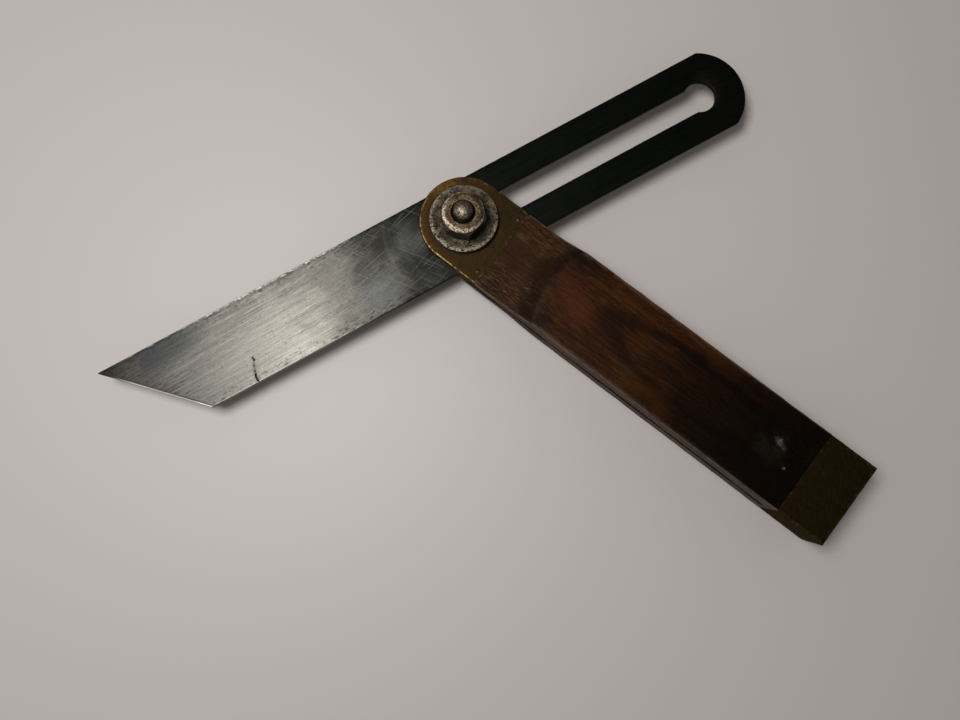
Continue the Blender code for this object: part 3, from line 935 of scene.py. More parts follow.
def swept(along, across):
    """Where a station at this reach lies off the middle line: it follows a circle round the crest."""
    radius = min(max(sweep_centre - along, crest_radius), crest_radius + cove_length)
    lag = radius - math.sqrt(radius ** 2 - across ** 2)
    if along < foot_reach:
        lag *= max(0.0, (along - plate_front) / (foot_reach - plate_front))
    if along > crest_reach:
        lag *= max(0.0, (straight_again - along) / (straight_again - crest_reach))
    return along + lag


def at_cheek_arris(edge):
    return abs(middle(edge).z) > half_neck * 0.9 and middle(edge).x < wood_end - MERGE


def at_kerf_mouth(edge):
    """Whether an edge lies where the kerf opens, on the stock's sides or round its nose."""
    place = middle(edge)
    on_side = abs(place.y) > half_width - MERGE
    on_nose = place.x < 0 and place.xy.length > half_width - 0.2 * MM
    return abs(abs(place.z) - half_kerf) < MERGE and (on_side or on_nose)


for vert in bar.verts:
    along, across, height = vert.co
    if abs(height) > half_kerf + MERGE:
        share = (abs(height) - half_kerf) / cheek
        height = math.copysign(half_kerf + share * (cheek_height(along) - half_kerf), height)
    vert.co = (swept(along, across) if along > 0 else along, across, height)

round_edges(bar, 0.5 * MM, at_cheek_arris, segments=4)
round_edges(bar, 0.15 * MM, at_kerf_mouth, segments=2)
print("after rounding:", len(bar.faces), "faces")


# %% [markdown]
# The seats for the plates, the screw's bore, the mortise for the cap's tongue and the pin holes are
# plain cuts, and here booleans are the right tool.

# %% Cut the seats and bores
seat_floor = half_neck - plate_thickness - 0.3 * MM
mortise_start = 106.95 * MM
mortise_half_y = 6.3 * MM
mortise_half_z = 1.9 * MM
cutters = []
for side in (1, -1):
    seat_heights = sorted((side * seat_floor, side * (half_neck + overrun)))
    cutters.append(box((-half_width - overrun, -half_width - overrun, seat_heights[0]),
                       (plate_front + joint_gap, half_width + overrun, seat_heights[1])))
    for pin_y in (-plate_pin_y, plate_pin_y):
        pin_ends = sorted((side * 1.25 * MM, side * (half_neck + overrun)))
        cutters.append(rod(0.7 * MM, *pin_ends, plate_pin_x, pin_y, 16))
cutters.append(rod(screw_bore, -half_grip, half_grip))
cutters.append(box((mortise_start, -mortise_half_y, -mortise_half_z),
                   (wood_end + overrun, mortise_half_y, mortise_half_z)))
cutters.append(rod(0.72 * MM, -half_grip - overrun, half_grip + overrun, cap_pin.x, cap_pin.y, 24))
bar = carve(bar, cutters)
print("seats, bore, mortise and pin holes cut:", len(bar.faces), "faces")


# %% [markdown]
# Near the butt something hard once struck the upper face. The bar's faces are too large to show such a
# small dent, so only those around it are divided finer, and their vertices are then pressed in. It is
# steep on the side of the butt and runs out gently on the other.

# %% Press the small dent
struck_depth = 0.28 * MM
struck_reach = 2.9 * MM
struck_floor = 0.5 * MM


def from_struck(place):
    """How far a place lies from the dent's middle; the gentle side counts only half."""
    ahead = place.x - struck_x
    return math.hypot(ahead if ahead > 0 else ahead / 2, place.y - struck_y)


bar.normal_update()
around = [face for face in bar.faces
          if face.normal.z > 0.9 and from_struck(face.calc_center_median()) < struck_reach]
around_edges = list(dict.fromkeys(edge for face in around for edge in face.edges))
bmesh.ops.subdivide_edges(bar, edges=around_edges, cuts=3, use_grid_fill=True)
for vert in bar.verts:
    if vert.co.z > half_neck:
        share = (struck_reach - from_struck(vert.co)) / (struck_reach - struck_floor)
        share = min(1.0, max(0.0, share))
        vert.co.z -= struck_depth * share * share * (3 - 2 * share)
finish_piece("worn_stock", bar, "stock", "stock", wood, dents=(0.12, 2.5, 4.0))


# %% [markdown]
# ## Finish of the brass
# Old brass goes olive brown, and where it is handled the skin wears off to an orange brown and then to
# bright metal along the arrises. Fine scratches run every way. The arrises where brass meets wood are
# let in flush, so they stay dull, and so do the rims of the pin holes.

# %% The brass material
RUBBED_BRASS = (0.046, 0.0245, 0.006)
RUBBED_SPOT = (0.12, 0.062, 0.017)
DUSTY_BRASS = (0.055, 0.049, 0.034)


def brass_finish(name, skin, second_skin, reach, bright, unevenness, marking):
    """Tarnished brass: two colours of its skin and one of worn metal, the width of the worn arrises
    in millimetres, and how strong the clouds and the small marks are."""
    material, recipe, shader = new_material(name, 0.45, 1.0)
    shader.inputs["Specular Tint"].default_value = (0.40, 0.34, 0.24, 1.0)
    place = place_in_mm(recipe)
    x, y = recipe.split(place)[0:2]
    clouds = mottled(recipe, place, size=6.0, contrast=unevenness)
    fine_clouds = mottled(recipe, place, size=0.4, contrast=2.6)
    colour = recipe.mix(recipe.rise(clouds, 0.3, 0.75), skin, second_skin)
    dark = tuple(part * 0.4 for part in skin)
    colour = recipe.coat(colour, dark, recipe.rise(fine_clouds, 0.5, 0.1), 1.4 * marking)
    rub = recipe.reach(place, scale=(1.0, 1.0, 0.0))
    rub = recipe.times(recipe.rise(rub, 9.9, 11.4), recipe.rise(x, 4.0, -4.0),
                       recipe.rise(fine_clouds, 0.2, 0.6))
    colour = recipe.coat(colour, RUBBED_BRASS, rub, 0.8)
    rubbed_spot = recipe.times(spot(recipe, place, (-10.4, 4.6), (6.0, 6.0), 0.8),
                               recipe.rise(fine_clouds, 0.35, 0.6))
    colour = recipe.coat(colour, RUBBED_SPOT, rubbed_spot, 0.8)
    marks = hair_scratches(recipe, place, angle=0.9, length=2.5, width=0.1, amount=0.5, seed=1.0)
    more_marks = hair_scratches(recipe, place, angle=-0.5, length=3.5, width=0.09, amount=0.45,
                                seed=7.0)
    marks = recipe.most(marks, more_marks)
    colour = recipe.coat(colour, bright, marks, 0.36 * marking)
    worn = rubbed_edge(recipe, place, edge_distance(recipe), reach=reach, grain=1.4,
                       raggedness=reach * 1.6)
    either_side = recipe.join(x, recipe.unsigned(y), 0.0)
    from_pin = recipe.reach(either_side, (plate_pin_x / MM, plate_pin_y / MM, 0.0))
    from_joint = recipe.unsigned(recipe.minus(x, plate_front / MM))
    worn = recipe.times(worn, recipe.rise(from_pin, 0.9, 1.6),
                        recipe.most(recipe.rise(from_joint, 0.3, 1.0), 0.45))
    colour = recipe.coat(colour, bright, worn, 0.8)
    on_side = recipe.rise(recipe.unsigned(y), 12.3, 12.7)
    colour = recipe.coat(colour, DUSTY_BRASS, on_side, recipe.sum_of(0.14, (fine_clouds, 0.52)))
    recipe.plug(colour, shader.inputs["Base Color"])
    dullness = recipe.sum_of(0.42, (fine_clouds, 0.2), (worn, -0.14))
    recipe.plug(dullness, shader.inputs["Roughness"])
    relief = recipe.minus(fine_clouds, marks)
    recipe.plug(recipe.bump(relief, 0.03 * MM, 0.5), shader.inputs["Normal"])
    return material


plate_brass = brass_finish("plate_brass", skin=(0.0205, 0.0138, 0.0058),
                           second_skin=(0.0275, 0.0152, 0.0054), bright=(0.165, 0.115, 0.047),
                           reach=0.34, unevenness=2.2, marking=0.75)
cap_brass = brass_finish("cap_brass", skin=(0.0228, 0.0144, 0.0053),
                         second_skin=(0.0255, 0.0152, 0.0053), bright=(0.1, 0.07, 0.026),
                         reach=0.26, unevenness=1.0, marking=0.18)
print("brass finishes:", plate_brass.name, cap_brass.name)

# %% The pins' material
# A pin is rubbed bright in the middle of its crown and keeps a dark rim. The two pins at the near edge
# are duller than the rest.
PIN_RIM = (0.022, 0.014, 0.005)
PIN_CROWN = (0.36, 0.31, 0.22)

pin_brass, recipe, shader = new_material("worn_pin_brass", 0.42, 0.9)
place = place_in_mm(recipe)
flecks = mottled(recipe, place, size=0.5, contrast=2.4)
crown = recipe.rise(recipe.sum_of(edge_distance(recipe), (flecks, 0.2)), 0.42, 0.66)
dull_row = recipe.rise(recipe.split(place)[1], -5.0, -8.0)
crown = recipe.times(crown, recipe.sum_of(1.0, (dull_row, -0.75)))
recipe.plug(recipe.mix(crown, PIN_RIM, PIN_CROWN), shader.inputs["Base Color"])
recipe.plug(recipe.bump(flecks, 0.03 * MM, 0.6), shader.inputs["Normal"])
print("pins:", pin_brass.name)


# %% [markdown]
# ## The bolster plates and their pins
# Each cheek is faced with a brass plate that follows the nose, let in flush with the neck. It takes
# the wear of washer and screw head. A slab with a half-round end is bored, and its outer arris is
# rounded more than a machinist would, because it is old. The pins are short rods with a faint crown.

# %% Model the bolster plates
PLATE_ARRIS = 0.45 * MM


def bolster_plate(name, node, side):
    heights = sorted((side * (half_neck - plate_thickness), side * half_neck))
    outline = [(plate_front, -half_width), (plate_front, half_width)]
    outline += arc(0, 0, half_width, math.pi / 2, math.pi * 3 / 2, 72)
    plate = slab(outline, *heights)
    round_edges(plate, PLATE_ARRIS, lambda edge: abs(middle(edge).z) > half_neck - MERGE
                and middle(edge).x < plate_front - MERGE, segments=4)
    holes = [rod(screw_bore, heights[0] - overrun, heights[1] + overrun, steps=72)]
    for pin_y in (-plate_pin_y, plate_pin_y):
        holes.append(rod(0.58 * MM, heights[0] - overrun, heights[1] + overrun, plate_pin_x, pin_y, 24))
    plate = carve(plate, holes)
    slice_grid(plate, 0, -half_width, plate_front, 0.8 * MM)
    slice_grid(plate, 1, -half_width, half_width, 0.8 * MM)
    finish_piece(name, plate, "stock", node, plate_brass, dents=(0.07, 0.9, 1.6))


bolster_plate("upper_plate", "upper_bolster_plate", 1)
bolster_plate("lower_plate", "lower_bolster_plate", -1)


# %% Model the pins
def pin(name, node, x, y, radius, foot, head):
    """A rod whose head has a crown of a few hundredths of a millimetre."""
    side = math.copysign(1, head)
    crown = 0.04 * MM * side
    bm = turned([(0, foot), (radius, foot), (radius, head - crown), (radius * 0.8, head),
                 (0, head + crown)], 32)
    bmesh.ops.translate(bm, verts=bm.verts, vec=(x, y, 0))
    finish_piece(name, bm, "stock", node, pin_brass)


for side, level in ((1, "upper"), (-1, "lower")):
    for pin_y, row in ((-plate_pin_y, "near"), (plate_pin_y, "far")):
        pin(f"{level}_pin_{row}", f"{level}_plate_pin_{row}", plate_pin_x, pin_y, 0.55 * MM,
            side * 1.55 * MM, side * half_neck)
pin("cap_pin", "butt_cap_pin", cap_pin.x, cap_pin.y, 0.65 * MM, -half_grip, half_grip)


# %% [markdown]
# ## The butt cap
# A solid block of brass ends the stock, so that it can be driven against a bench or stand on end. Its
# tongue is let into the wood. The block is pulled from its joint face, and the tongue from a smaller
# face that is inset in that one.

# %% Model the butt cap
cap_front = wood_end + joint_gap
tongue_length = 8.0 * MM
tongue_half = Vector((6.0, 1.6)) * MM
block = box((cap_front, -half_width, -half_grip), (cap_high.x, half_width, half_grip))


def at_cap_arris(edge):
    """Whether an edge of the block is rounded: all behind the joint but the two upright end ones."""
    place = middle(edge)
    upright_at_end = place.x > cap_high.x - MERGE and abs(place.z) < half_grip / 2
    return place.x > cap_front + MERGE and not upright_at_end


round_edges(block, 0.6 * MM, at_cap_arris, segments=4)
joint_face = max((face for face in block.faces if face.calc_center_median().x < cap_front + MERGE),
                 key=lambda face: face.calc_area())
bmesh.ops.inset_individual(block, faces=[joint_face], thickness=half_grip / 2, depth=0)
for vert in joint_face.verts:
    vert.co.y = math.copysign(tongue_half.x, vert.co.y)
    vert.co.z = math.copysign(tongue_half.y, vert.co.z)
pull(block, [joint_face], (-tongue_length, 0, 0))
block = carve(block, [rod(0.7 * MM, -half_grip, half_grip, cap_pin.x, cap_pin.y, 24)])
slice_grid(block, 0, cap_front - tongue_length, cap_high.x, 0.9 * MM)
slice_grid(block, 1, -half_width, half_width, 0.9 * MM)
slice_grid(block, 2, -half_grip, half_grip, 0.9 * MM)
finish_piece("worn_cap", block, "stock", "butt_cap", cap_brass, dents=(0.10, 1.2, 2.2))


# %% [markdown]
# ## Finish of the blade
# The blade was ground lengthwise, and everything since has been drawn over that: slanting hair
# scratches, arcs that the washer rubbed round the pivot, a blue-grey patch near the tip and specks of
# rust along the edges. The slotted tail was never rubbed clean and is nearly black. A painted
# reflection of the lamp runs along the rest: brightest 60 mm from the pivot and lighter towards the
# near edge there, dark near the pivot and at the tip, with painted shade in two spots and a painted
# highlight on the near arris. The crack at the near edge is cut into the mesh further on; here its
# walls are painted with shade and a stain lies beside it.
# In the material u runs along the blade from the pivot to the tip, v across it and w up.

# %% The blade's ground surface
TARNISH_AND_REFLECTION_TONES = [(0.0, (0.0062, 0.0076, 0.0064)), (0.44, (0.006, 0.0068, 0.0056)),
               (0.5, (0.0085, 0.0088, 0.0078)), (0.56, (0.017, 0.0168, 0.0146)),
               (0.63, (0.072, 0.068, 0.059)), (0.72, (0.152, 0.143, 0.126)),
               (0.83, (0.094, 0.089, 0.079)), (0.95, (0.028, 0.0275, 0.0265))]
OLD_SCRATCH = (0.2, 0.195, 0.175)
RUBBED_ARC = (0.22, 0.22, 0.21)
BLOOM = (0.09, 0.094, 0.093)
SHADE_SPOT_GREY = (0.05, 0.048, 0.042)
COLD_BLUE = (0.022, 0.026, 0.027)
RUST = (0.014, 0.0105, 0.0075)
KEYHOLE_BROWN = (0.04, 0.028, 0.019)
SPECK = (0.018, 0.016, 0.013)
STAIN = (0.034, 0.028, 0.02)
CRACK_SHADE = (0.007, 0.006, 0.005)
WORN_RIM = (0.36, 0.35, 0.32)
NEAR_EDGE_HIGHLIGHT = (0.5, 0.48, 0.43)
MITRE_DIRT = (0.034, 0.029, 0.022)
MITRE_STEEL = (0.5, 0.48, 0.44)
CHIPPED_STEEL = (0.55, 0.53, 0.49)

blade_steel, recipe, shader = new_material("worn_blade_steel", 0.46, 1.0)
shader.inputs["Specular Tint"].default_value = (0.6, 0.6, 0.6, 1.0)
place = place_in_mm(recipe, blade_rest_angle)
u, v, w = recipe.split(place)[0:3]
from_edge = edge_distance(recipe)
clouds = mottled(recipe, place, size=14.0, contrast=2.2)
# The ramp along the blade is partly painted: tarnish darkens the tail, and a painted reflection of the
# lamp is brightest 60 mm from the pivot, dark near it and fading towards the tip.
drift = recipe.varied(recipe.sum_of(u, (v, 0.3)), (clouds, 14.0))
along = recipe.math("DIVIDE", recipe.plus(drift, 100.0), 220.0)
steel = recipe.colours(along, TARNISH_AND_REFLECTION_TONES)
grind = recipe.noise(recipe.stretched(place, (0.05, 4.6, 4.6)), detail=3.0, roughness=0.7)
coarse_grind = recipe.noise(recipe.stretched(place, (0.03, 1.1, 1.1)), detail=3.0, roughness=0.6)
flecks = recipe.noise(recipe.stretched(place, (1.4, 3.0, 3.0)), detail=4.0, roughness=0.75)
grain = recipe.noise(recipe.stretched(place, (3.2, 4.6, 4.6)), detail=3.0, roughness=0.8)
bare = recipe.rise(u, 2.0, 30.0)
shade = recipe.varied(1.0, (grind, 1.8), (coarse_grind, 0.55), (flecks, 0.7), (grain, 1.6),
                      (clouds, 0.3))
# A painted sheen: from 42 mm out the blade is painted lighter towards its near edge.
shade = recipe.plus(shade, recipe.times(v, recipe.rise(u, 42.0, 60.0), 0.024))
print("the ground surface is brightest 60 mm from the pivot")

# %% Scratches that lighten the blade
# Each layer has an angle, a length, a width, an amount, a seed and a strength.
scratch_layers = [(0.06, 16.0, 0.13, 0.50, 2.0, 0.8), (0.15, 14.0, 0.13, 0.48, 9.0, 0.8),
                  (0.26, 9.0, 0.12, 0.46, 17.0, 0.8), (-0.04, 14.0, 0.13, 0.48, 14.0, 0.7),
                  (1.05, 4.0, 0.12, 0.42, 21.0, 0.7)]
for angle, length, width, amount, seed, strength in scratch_layers:
    layer = hair_scratches(recipe, place, -angle, length, width, amount, seed)
    shade = recipe.plus(shade, recipe.times(layer, bare, strength))
steel = recipe.stretched(steel, recipe.join(shade, shade, shade))
crossing = recipe.window(u, 6.0, 14.0, 34.0, 62.0)
long_scratches = [(0.24, 31.0), (0.40, 37.0), (-0.9, 43.0)]
for angle, seed in long_scratches:
    layer = hair_scratches(recipe, place, -angle, length=20.0, width=0.12, amount=0.48, seed=seed)
    steel = recipe.coat(steel, OLD_SCRATCH, layer, crossing, 0.45)
print("layers of scratches:", len(scratch_layers) + len(long_scratches))

# %% Rubbed arcs, painted shade spots, the cold patch and rust
reach = recipe.reach(place, scale=(1.0, 1.0, 0.0))
arcs = recipe.noise(recipe.join(recipe.times(reach, 0.5), 5.0, 0.0), detail=3.0, roughness=0.6)
arcs = recipe.times(recipe.rise(arcs, 0.45, 0.75), recipe.rise(u, 9.0, 15.0),
                    recipe.rise(reach, 33.0, 24.0), recipe.rise(flecks, 0.35, 0.6))
steel = recipe.coat(steel, RUBBED_ARC, arcs, 0.07)
bloom_place = recipe.wander(place, (0.12, 0.12, 0.0), (9.0, 9.0, 0.0), detail=5.0)
bloom = recipe.most(spot(recipe, bloom_place, (30.0, 6.5), (9.0, 6.5), 0.8),
                    recipe.times(spot(recipe, bloom_place, (16.0, -4.0), (5.0, 8.0), 0.8), 0.6))
steel = recipe.coat(steel, BLOOM, bloom, 0.4)
# Painted shade in two spots beside the brightest stretch of the blade.
shade_spots = recipe.most(spot(recipe, bloom_place, (42.0, 10.5), (10.0, 6.0), 0.8),
                   recipe.times(spot(recipe, bloom_place, (43.0, -6.0), (10.0, 6.0), 0.8), 0.7))
steel = recipe.coat(steel, SHADE_SPOT_GREY, shade_spots, 0.55)
cold = spot(recipe, place, (93.0, -9.5), (19.0, 8.0), 0.8)
steel = recipe.coat(steel, COLD_BLUE, cold, recipe.rise(clouds, 0.2, 0.55), 0.6)
tarnish = mottled(recipe, recipe.stretched(place, (0.5, 1.0, 1.0)), size=0.9, contrast=2.6)
rust = recipe.times(recipe.rise(tarnish, 0.55, 0.85), recipe.rise(from_edge, 4.5, 0.3))
# Past 105 mm the tip is painted dark too: painted shade over the highlight of its rounded corners.
rust = recipe.most(rust, recipe.rise(u, 105.0, 110.0))
steel = recipe.coat(steel, RUST, rust, bare, 0.7)
round_keyhole = recipe.rise(recipe.reach(place, (-79.0, -1.0, 0.0), (1.0, 1.0, 0.0)), 8.0, 4.5)
steel = recipe.coat(steel, KEYHOLE_BROWN, round_keyhole, recipe.rise(u, -78.0, -82.0),
                    recipe.rise(grain, 0.4, 0.7), 0.7)
specks = recipe.group(pits, {"Place": place, "Spacing": 0.9, "Amount": 0.35})
specks = recipe.times(specks["Mask"], bare)
steel = recipe.coat(steel, SPECK, specks, 0.4)
print("tarnish, rust and specks added")

# %% The crack's stain and the painted shade on its walls
# The stain follows a bent line through the clefts; only what lies below the upper face is painted black
# with shade.
turned_back = recipe.most(recipe.minus(v, 10.3), 0.0)
crack_line = recipe.sum_of(70.85, (recipe.minus(v, 5.0), 0.3), (turned_back, -0.4))
crack_side = recipe.unsigned(recipe.minus(u, crack_line))
wide_stain = recipe.times(recipe.rise(crack_side, 1.5, 0.0), recipe.rise(v, 3.5, 8.0),
                          recipe.rise(grain, 0.34, 0.6), 0.6)
hair_line = recipe.times(recipe.rise(crack_side, 0.32, 0.05), recipe.rise(v, 4.2, 5.5))
steel = recipe.coat(steel, STAIN, recipe.most(wide_stain, hair_line), 0.75)
below_face = recipe.rise(recipe.unsigned(w), 0.76, 0.7)
steel = recipe.coat(steel, CRACK_SHADE, below_face, recipe.rise(crack_side, 1.2, 1.1),
                    recipe.window(v, 4.2, 4.4, 11.9, 12.0), 0.95)
print("the crack is darkened")

# %% The bright arrises
# The line along the near edge is a painted highlight. The one beside the slanting end and the chipped
# far edge each catch the light, and grime has gathered just inside the slanting end.
bright_rim = rubbed_edge(recipe, place, from_edge, reach=0.28, grain=1.6, raggedness=0.5)
steel = recipe.coat(steel, WORN_RIM, bright_rim, recipe.window(u, 25.0, 60.0, 101.0, 106.0), 0.6)
# A painted highlight along the near arris.
near_edge_highlight = recipe.times(recipe.rise(v, 11.8, 11.95), recipe.window(u, 32.0, 58.0, 80.0, 88.0))
steel = recipe.coat(steel, NEAR_EDGE_HIGHLIGHT, near_edge_highlight, recipe.rise(flecks, 0.25, 0.55), 0.7)
mitre_distance = recipe.times(recipe.minus(99.65, recipe.plus(u, v)), math.sqrt(0.5))
mitre_dirt = recipe.rise(mitre_distance, 1.15, 0.75)
steel = recipe.coat(steel, MITRE_DIRT, mitre_dirt, recipe.rise(grain, 0.25, 0.6), 0.65)
mitre_line = recipe.times(recipe.rise(mitre_distance, 0.5, 0.25), recipe.rise(u, 109.0, 103.0))
steel = recipe.coat(steel, MITRE_STEEL, mitre_line, recipe.rise(flecks, 0.15, 0.5), 0.85)
chipped = recipe.times(recipe.rise(v, -11.4, -11.9), recipe.window(u, 28.0, 40.0, 74.0, 88.0))
steel = recipe.coat(steel, CHIPPED_STEEL, chipped, recipe.rise(flecks, 0.46, 0.6))
print("the arrises shine where the blade was handled")

# %% Roughness and relief of the blade
recipe.plug(steel, shader.inputs["Base Color"])
recipe.plug(recipe.sum_of(0.42, (grind, 0.14)), shader.inputs["Roughness"])
relief = recipe.sum_of(grind, (grain, 0.6), (specks, -1.0))
recipe.plug(recipe.bump(relief, 0.02 * MM, 0.6), shader.inputs["Normal"])
print("blade steel:", len(blade_steel.node_tree.nodes), "nodes")


# %% [markdown]
# ## The blade
# A strip with a 45 degree cut at one end and a rounded tail at the other. The slot lets it slide past
# the screw, and the round keyhole at the slot's end lets it come off. The outline is filled and
# pulled up, the slot is carved out, and only then are all the arrises rounded, inside the slot too.

# %% Model the blade
blade_half = 12.15 * MM
tip_reach = 111.8 * MM
tail_reach = 91.4 * MM
tail_radius = 13.7 * MM
half_thickness = 0.8 * MM
slot_half = 3.75 * MM
slot_inner = 4.0 * MM
keyhole_x = -78.2 * MM
keyhole_radius = 4.6 * MM

tail_spread = math.asin(blade_half / tail_radius)
outline = [(tip_reach, -blade_half), (tip_reach - 2 * blade_half, blade_half)]
outline += arc(tail_radius - tail_reach, 0, tail_radius,
               math.pi - tail_spread, math.pi + tail_spread, 56)
blade = slab(outline, -half_thickness, half_thickness)
key_spread = math.asin(slot_half / keyhole_radius)
slot_outline = arc(slot_inner, 0, slot_half, -math.pi / 2, math.pi / 2, 32)
slot_outline += arc(keyhole_x, 0, keyhole_radius, key_spread, math.tau - key_spread, 48)
blade = carve(blade, [slab(slot_outline, -blade_half, blade_half)])


def at_tip_corner(edge):
    place = middle(edge)
    return abs(place.z) < half_thickness / 2 and place.x > 0 and abs(place.y) > slot_half


round_edges(blade, 0.3 * MM, at_tip_corner)
round_edges(blade, 0.18 * MM, lambda edge: abs(middle(edge).z) > half_thickness - MERGE)
print("the strip with its slot:", len(blade.faces), "faces")


# %% [markdown]
# A crack runs in from one edge, 72 mm from the pivot, and opens in four places. Each point has a
# place across the blade, a place along it and half a width. The two sides make one ragged outline,
# which is cut 0.3 mm deep into the upper face. The last stretch goes right through, as a nick in the
# edge. The blade is sliced before that, because cuts this small are safest in small faces.

# %% Cut the crack and finish the blade
CRACK = (((4.75, 71.05, 0.08), (5.30, 71.02, 0.22), (5.95, 70.90, 0.36), (6.35, 71.00, 0.10)),
         ((7.00, 71.62, 0.08), (7.35, 71.78, 0.24), (7.65, 71.80, 0.08)),
         ((8.55, 72.12, 0.08), (8.85, 72.25, 0.26), (9.15, 72.22, 0.10)),
         ((9.40, 72.25, 0.10), (9.70, 72.35, 0.30), (10.34, 72.60, 0.38), (10.90, 72.62, 0.26),
          (11.50, 72.66, 0.30), (11.96, 72.55, 0.32), (12.60, 72.15, 0.42)))


def cleft(points, width, low):
    """A ragged wedge along the crack's points, from a height up through the upper face."""
    left = [((along - half * width) * MM, across * MM) for across, along, half in points]
    right = [((along + half * width) * MM, across * MM) for across, along, half in points]
    return slab(left + right[::-1], low, half_thickness + overrun)


slice_grid(blade, 0, -tail_reach, tip_reach, 1.3 * MM)
slice_grid(blade, 1, -blade_half, blade_half, 1.2 * MM)
blade = carve(blade, [cleft(points, 1.0, half_thickness - 0.3 * MM) for points in CRACK]
              + [cleft(CRACK[-1][-3:], 0.7, -half_thickness - overrun)])
turn_about_z(blade, blade_rest_angle)
finish_piece("worn_blade", blade, "blade", "blade", blade_steel, dents=(0.05, 0.5, 1.5))


# %% [markdown]
# ## Finishes of the small steel
# The washer is dull grey and pitted. The nut has gone brown and is bright only on its rubbed rim, which
# is worn metal and partly a painted highlight. The end of the screw carries a painted highlight in the
# middle and painted shade round its steep edge. One recipe serves all three. They are round, so the
# bright part is told by the distance from the axis: it starts at one radius and is whole at the next,
# and a dark ring does the same. The centre of the bright part leans to one side, so that the painted
# highlight falls on the side that faces the lamp.

# %% The small steel materials
DARKENED_RING = (0.012, 0.0095, 0.007)
PIT_DIRT = (0.01, 0.0085, 0.0065)
DOT_DIRT = (0.012, 0.0095, 0.0068)


def small_steel(name, skin, second_skin, bright, wear, dirt, pit_amount, pit_spacing, roughness,
                lit_side_lean):
    """Old steel; wear and dirt are pairs of distances from the axis, in millimetres: the bright part is
    worn metal and partly a painted highlight, and the dark ring is painted shade on the screw.
    """
    material, recipe, shader = new_material(name, roughness, 0.95)
    place = place_in_mm(recipe)
    clouds = mottled(recipe, place, size=2.6, contrast=2.6)
    fine_clouds = mottled(recipe, place, size=0.5, contrast=2.6)
    colour = recipe.mix(recipe.rise(clouds, 0.3, 0.7), skin, second_skin)
    dark = tuple(part * 0.3 for part in skin)
    colour = recipe.coat(colour, dark, recipe.rise(fine_clouds, 0.5, 0.2), 0.75)
    from_axis = recipe.reach(place, scale=(1.0, 1.0, 0.0))
    # The bright part's centre leans towards the lamp, so it carries a painted highlight on that side.
    from_wear = recipe.reach(place, (0.0, lit_side_lean, 0.0), (1.0, 1.0, 0.0))
    ragged = recipe.varied(from_wear, (clouds, 0.7))
    worn = recipe.times(recipe.rise(ragged, *wear), recipe.rise(fine_clouds, 0.15, 0.55))
    colour = recipe.coat(colour, bright, worn, 0.85)
    marks = hair_scratches(recipe, place, angle=0.4, length=2.0, width=0.08, amount=0.5, seed=4.0)
    colour = recipe.coat(colour, bright, marks, 0.3)
    # A darkened ring: painted shade round the screw's crown; on the washer round the nut's foot and on
    # the nut outside its round face it is painted darker.
    colour = recipe.coat(colour, DARKENED_RING, recipe.rise(from_axis, *dirt), 0.85)
    holes = recipe.group(pits, {"Place": place, "Spacing": pit_spacing, "Amount": pit_amount})
    colour = recipe.coat(colour, PIT_DIRT, holes["Mask"], 0.9)
    dots = recipe.group(pits, {"Place": place, "Spacing": pit_spacing * 0.42,
                               "Amount": pit_amount * 0.8})
    colour = recipe.coat(colour, DOT_DIRT, dots["Mask"], 0.75)
    recipe.plug(colour, shader.inputs["Base Color"])
    dullness = recipe.sum_of(roughness - 0.08, (fine_clouds, 0.2), (worn, -0.1))
    recipe.plug(dullness, shader.inputs["Roughness"])
    relief = recipe.sum_of(holes["Height"], (fine_clouds, 0.6))
    lumps = mottled(recipe, place, size=1.4, contrast=2.0)
    lumpy = recipe.bump(lumps, 0.1 * MM, 0.9)
    recipe.plug(recipe.bump(relief, 0.16 * MM, 0.85, lumpy), shader.inputs["Normal"])
    return material


washer_steel = small_steel(
    "worn_washer_steel", skin=(0.04, 0.0322, 0.0195), second_skin=(0.1, 0.082, 0.054),
    bright=(0.22, 0.19, 0.145), wear=(8.3, 9.6), dirt=(6.8, 5.9), pit_amount=1.35, pit_spacing=1.0,
    roughness=0.46, lit_side_lean=0.3)
nut_steel = small_steel(
    "worn_nut_steel", skin=(0.066, 0.044, 0.022), second_skin=(0.12, 0.085, 0.046),
    bright=(0.47, 0.395, 0.28), wear=(4.9, 5.75), dirt=(5.78, 5.88), pit_amount=0.6, pit_spacing=0.7,
    roughness=0.36, lit_side_lean=0.55)
screw_steel = small_steel(
    "worn_screw_steel", skin=(0.062, 0.046, 0.03), second_skin=(0.112, 0.088, 0.058),
    bright=(0.31, 0.27, 0.215), wear=(1.7, 0.5), dirt=(2.7, 2.78), pit_amount=0.5, pit_spacing=0.8,
    roughness=0.36, lit_side_lean=-0.5)
print("small steel:", washer_steel.name, nut_steel.name, screw_steel.name)


# %% [markdown]
# ## Washer, nut and screw
# All three are turned or nearly so. The washer's profile has points all the way across, so that its
# face can be made slightly uneven. The nut is a six-sided prism, cut down to a round face by a ring
# with a sloping inside. The screw ends in a low crown above its last thread.

# %% Model the washer
def widened(profile, spacing):
    """A profile with points added so that none of its straight stretches is longer than the spacing."""
    result = [profile[0]]
    for (r0, z0), (r1, z1) in zip(profile, profile[1:]):
        count = max(1, round(math.hypot(r1 - r0, z1 - z0) / spacing))
        result += [(r0 + (r1 - r0) * step / count, z0 + (z1 - z0) * step / count)
                   for step in range(1, count + 1)]
    return result


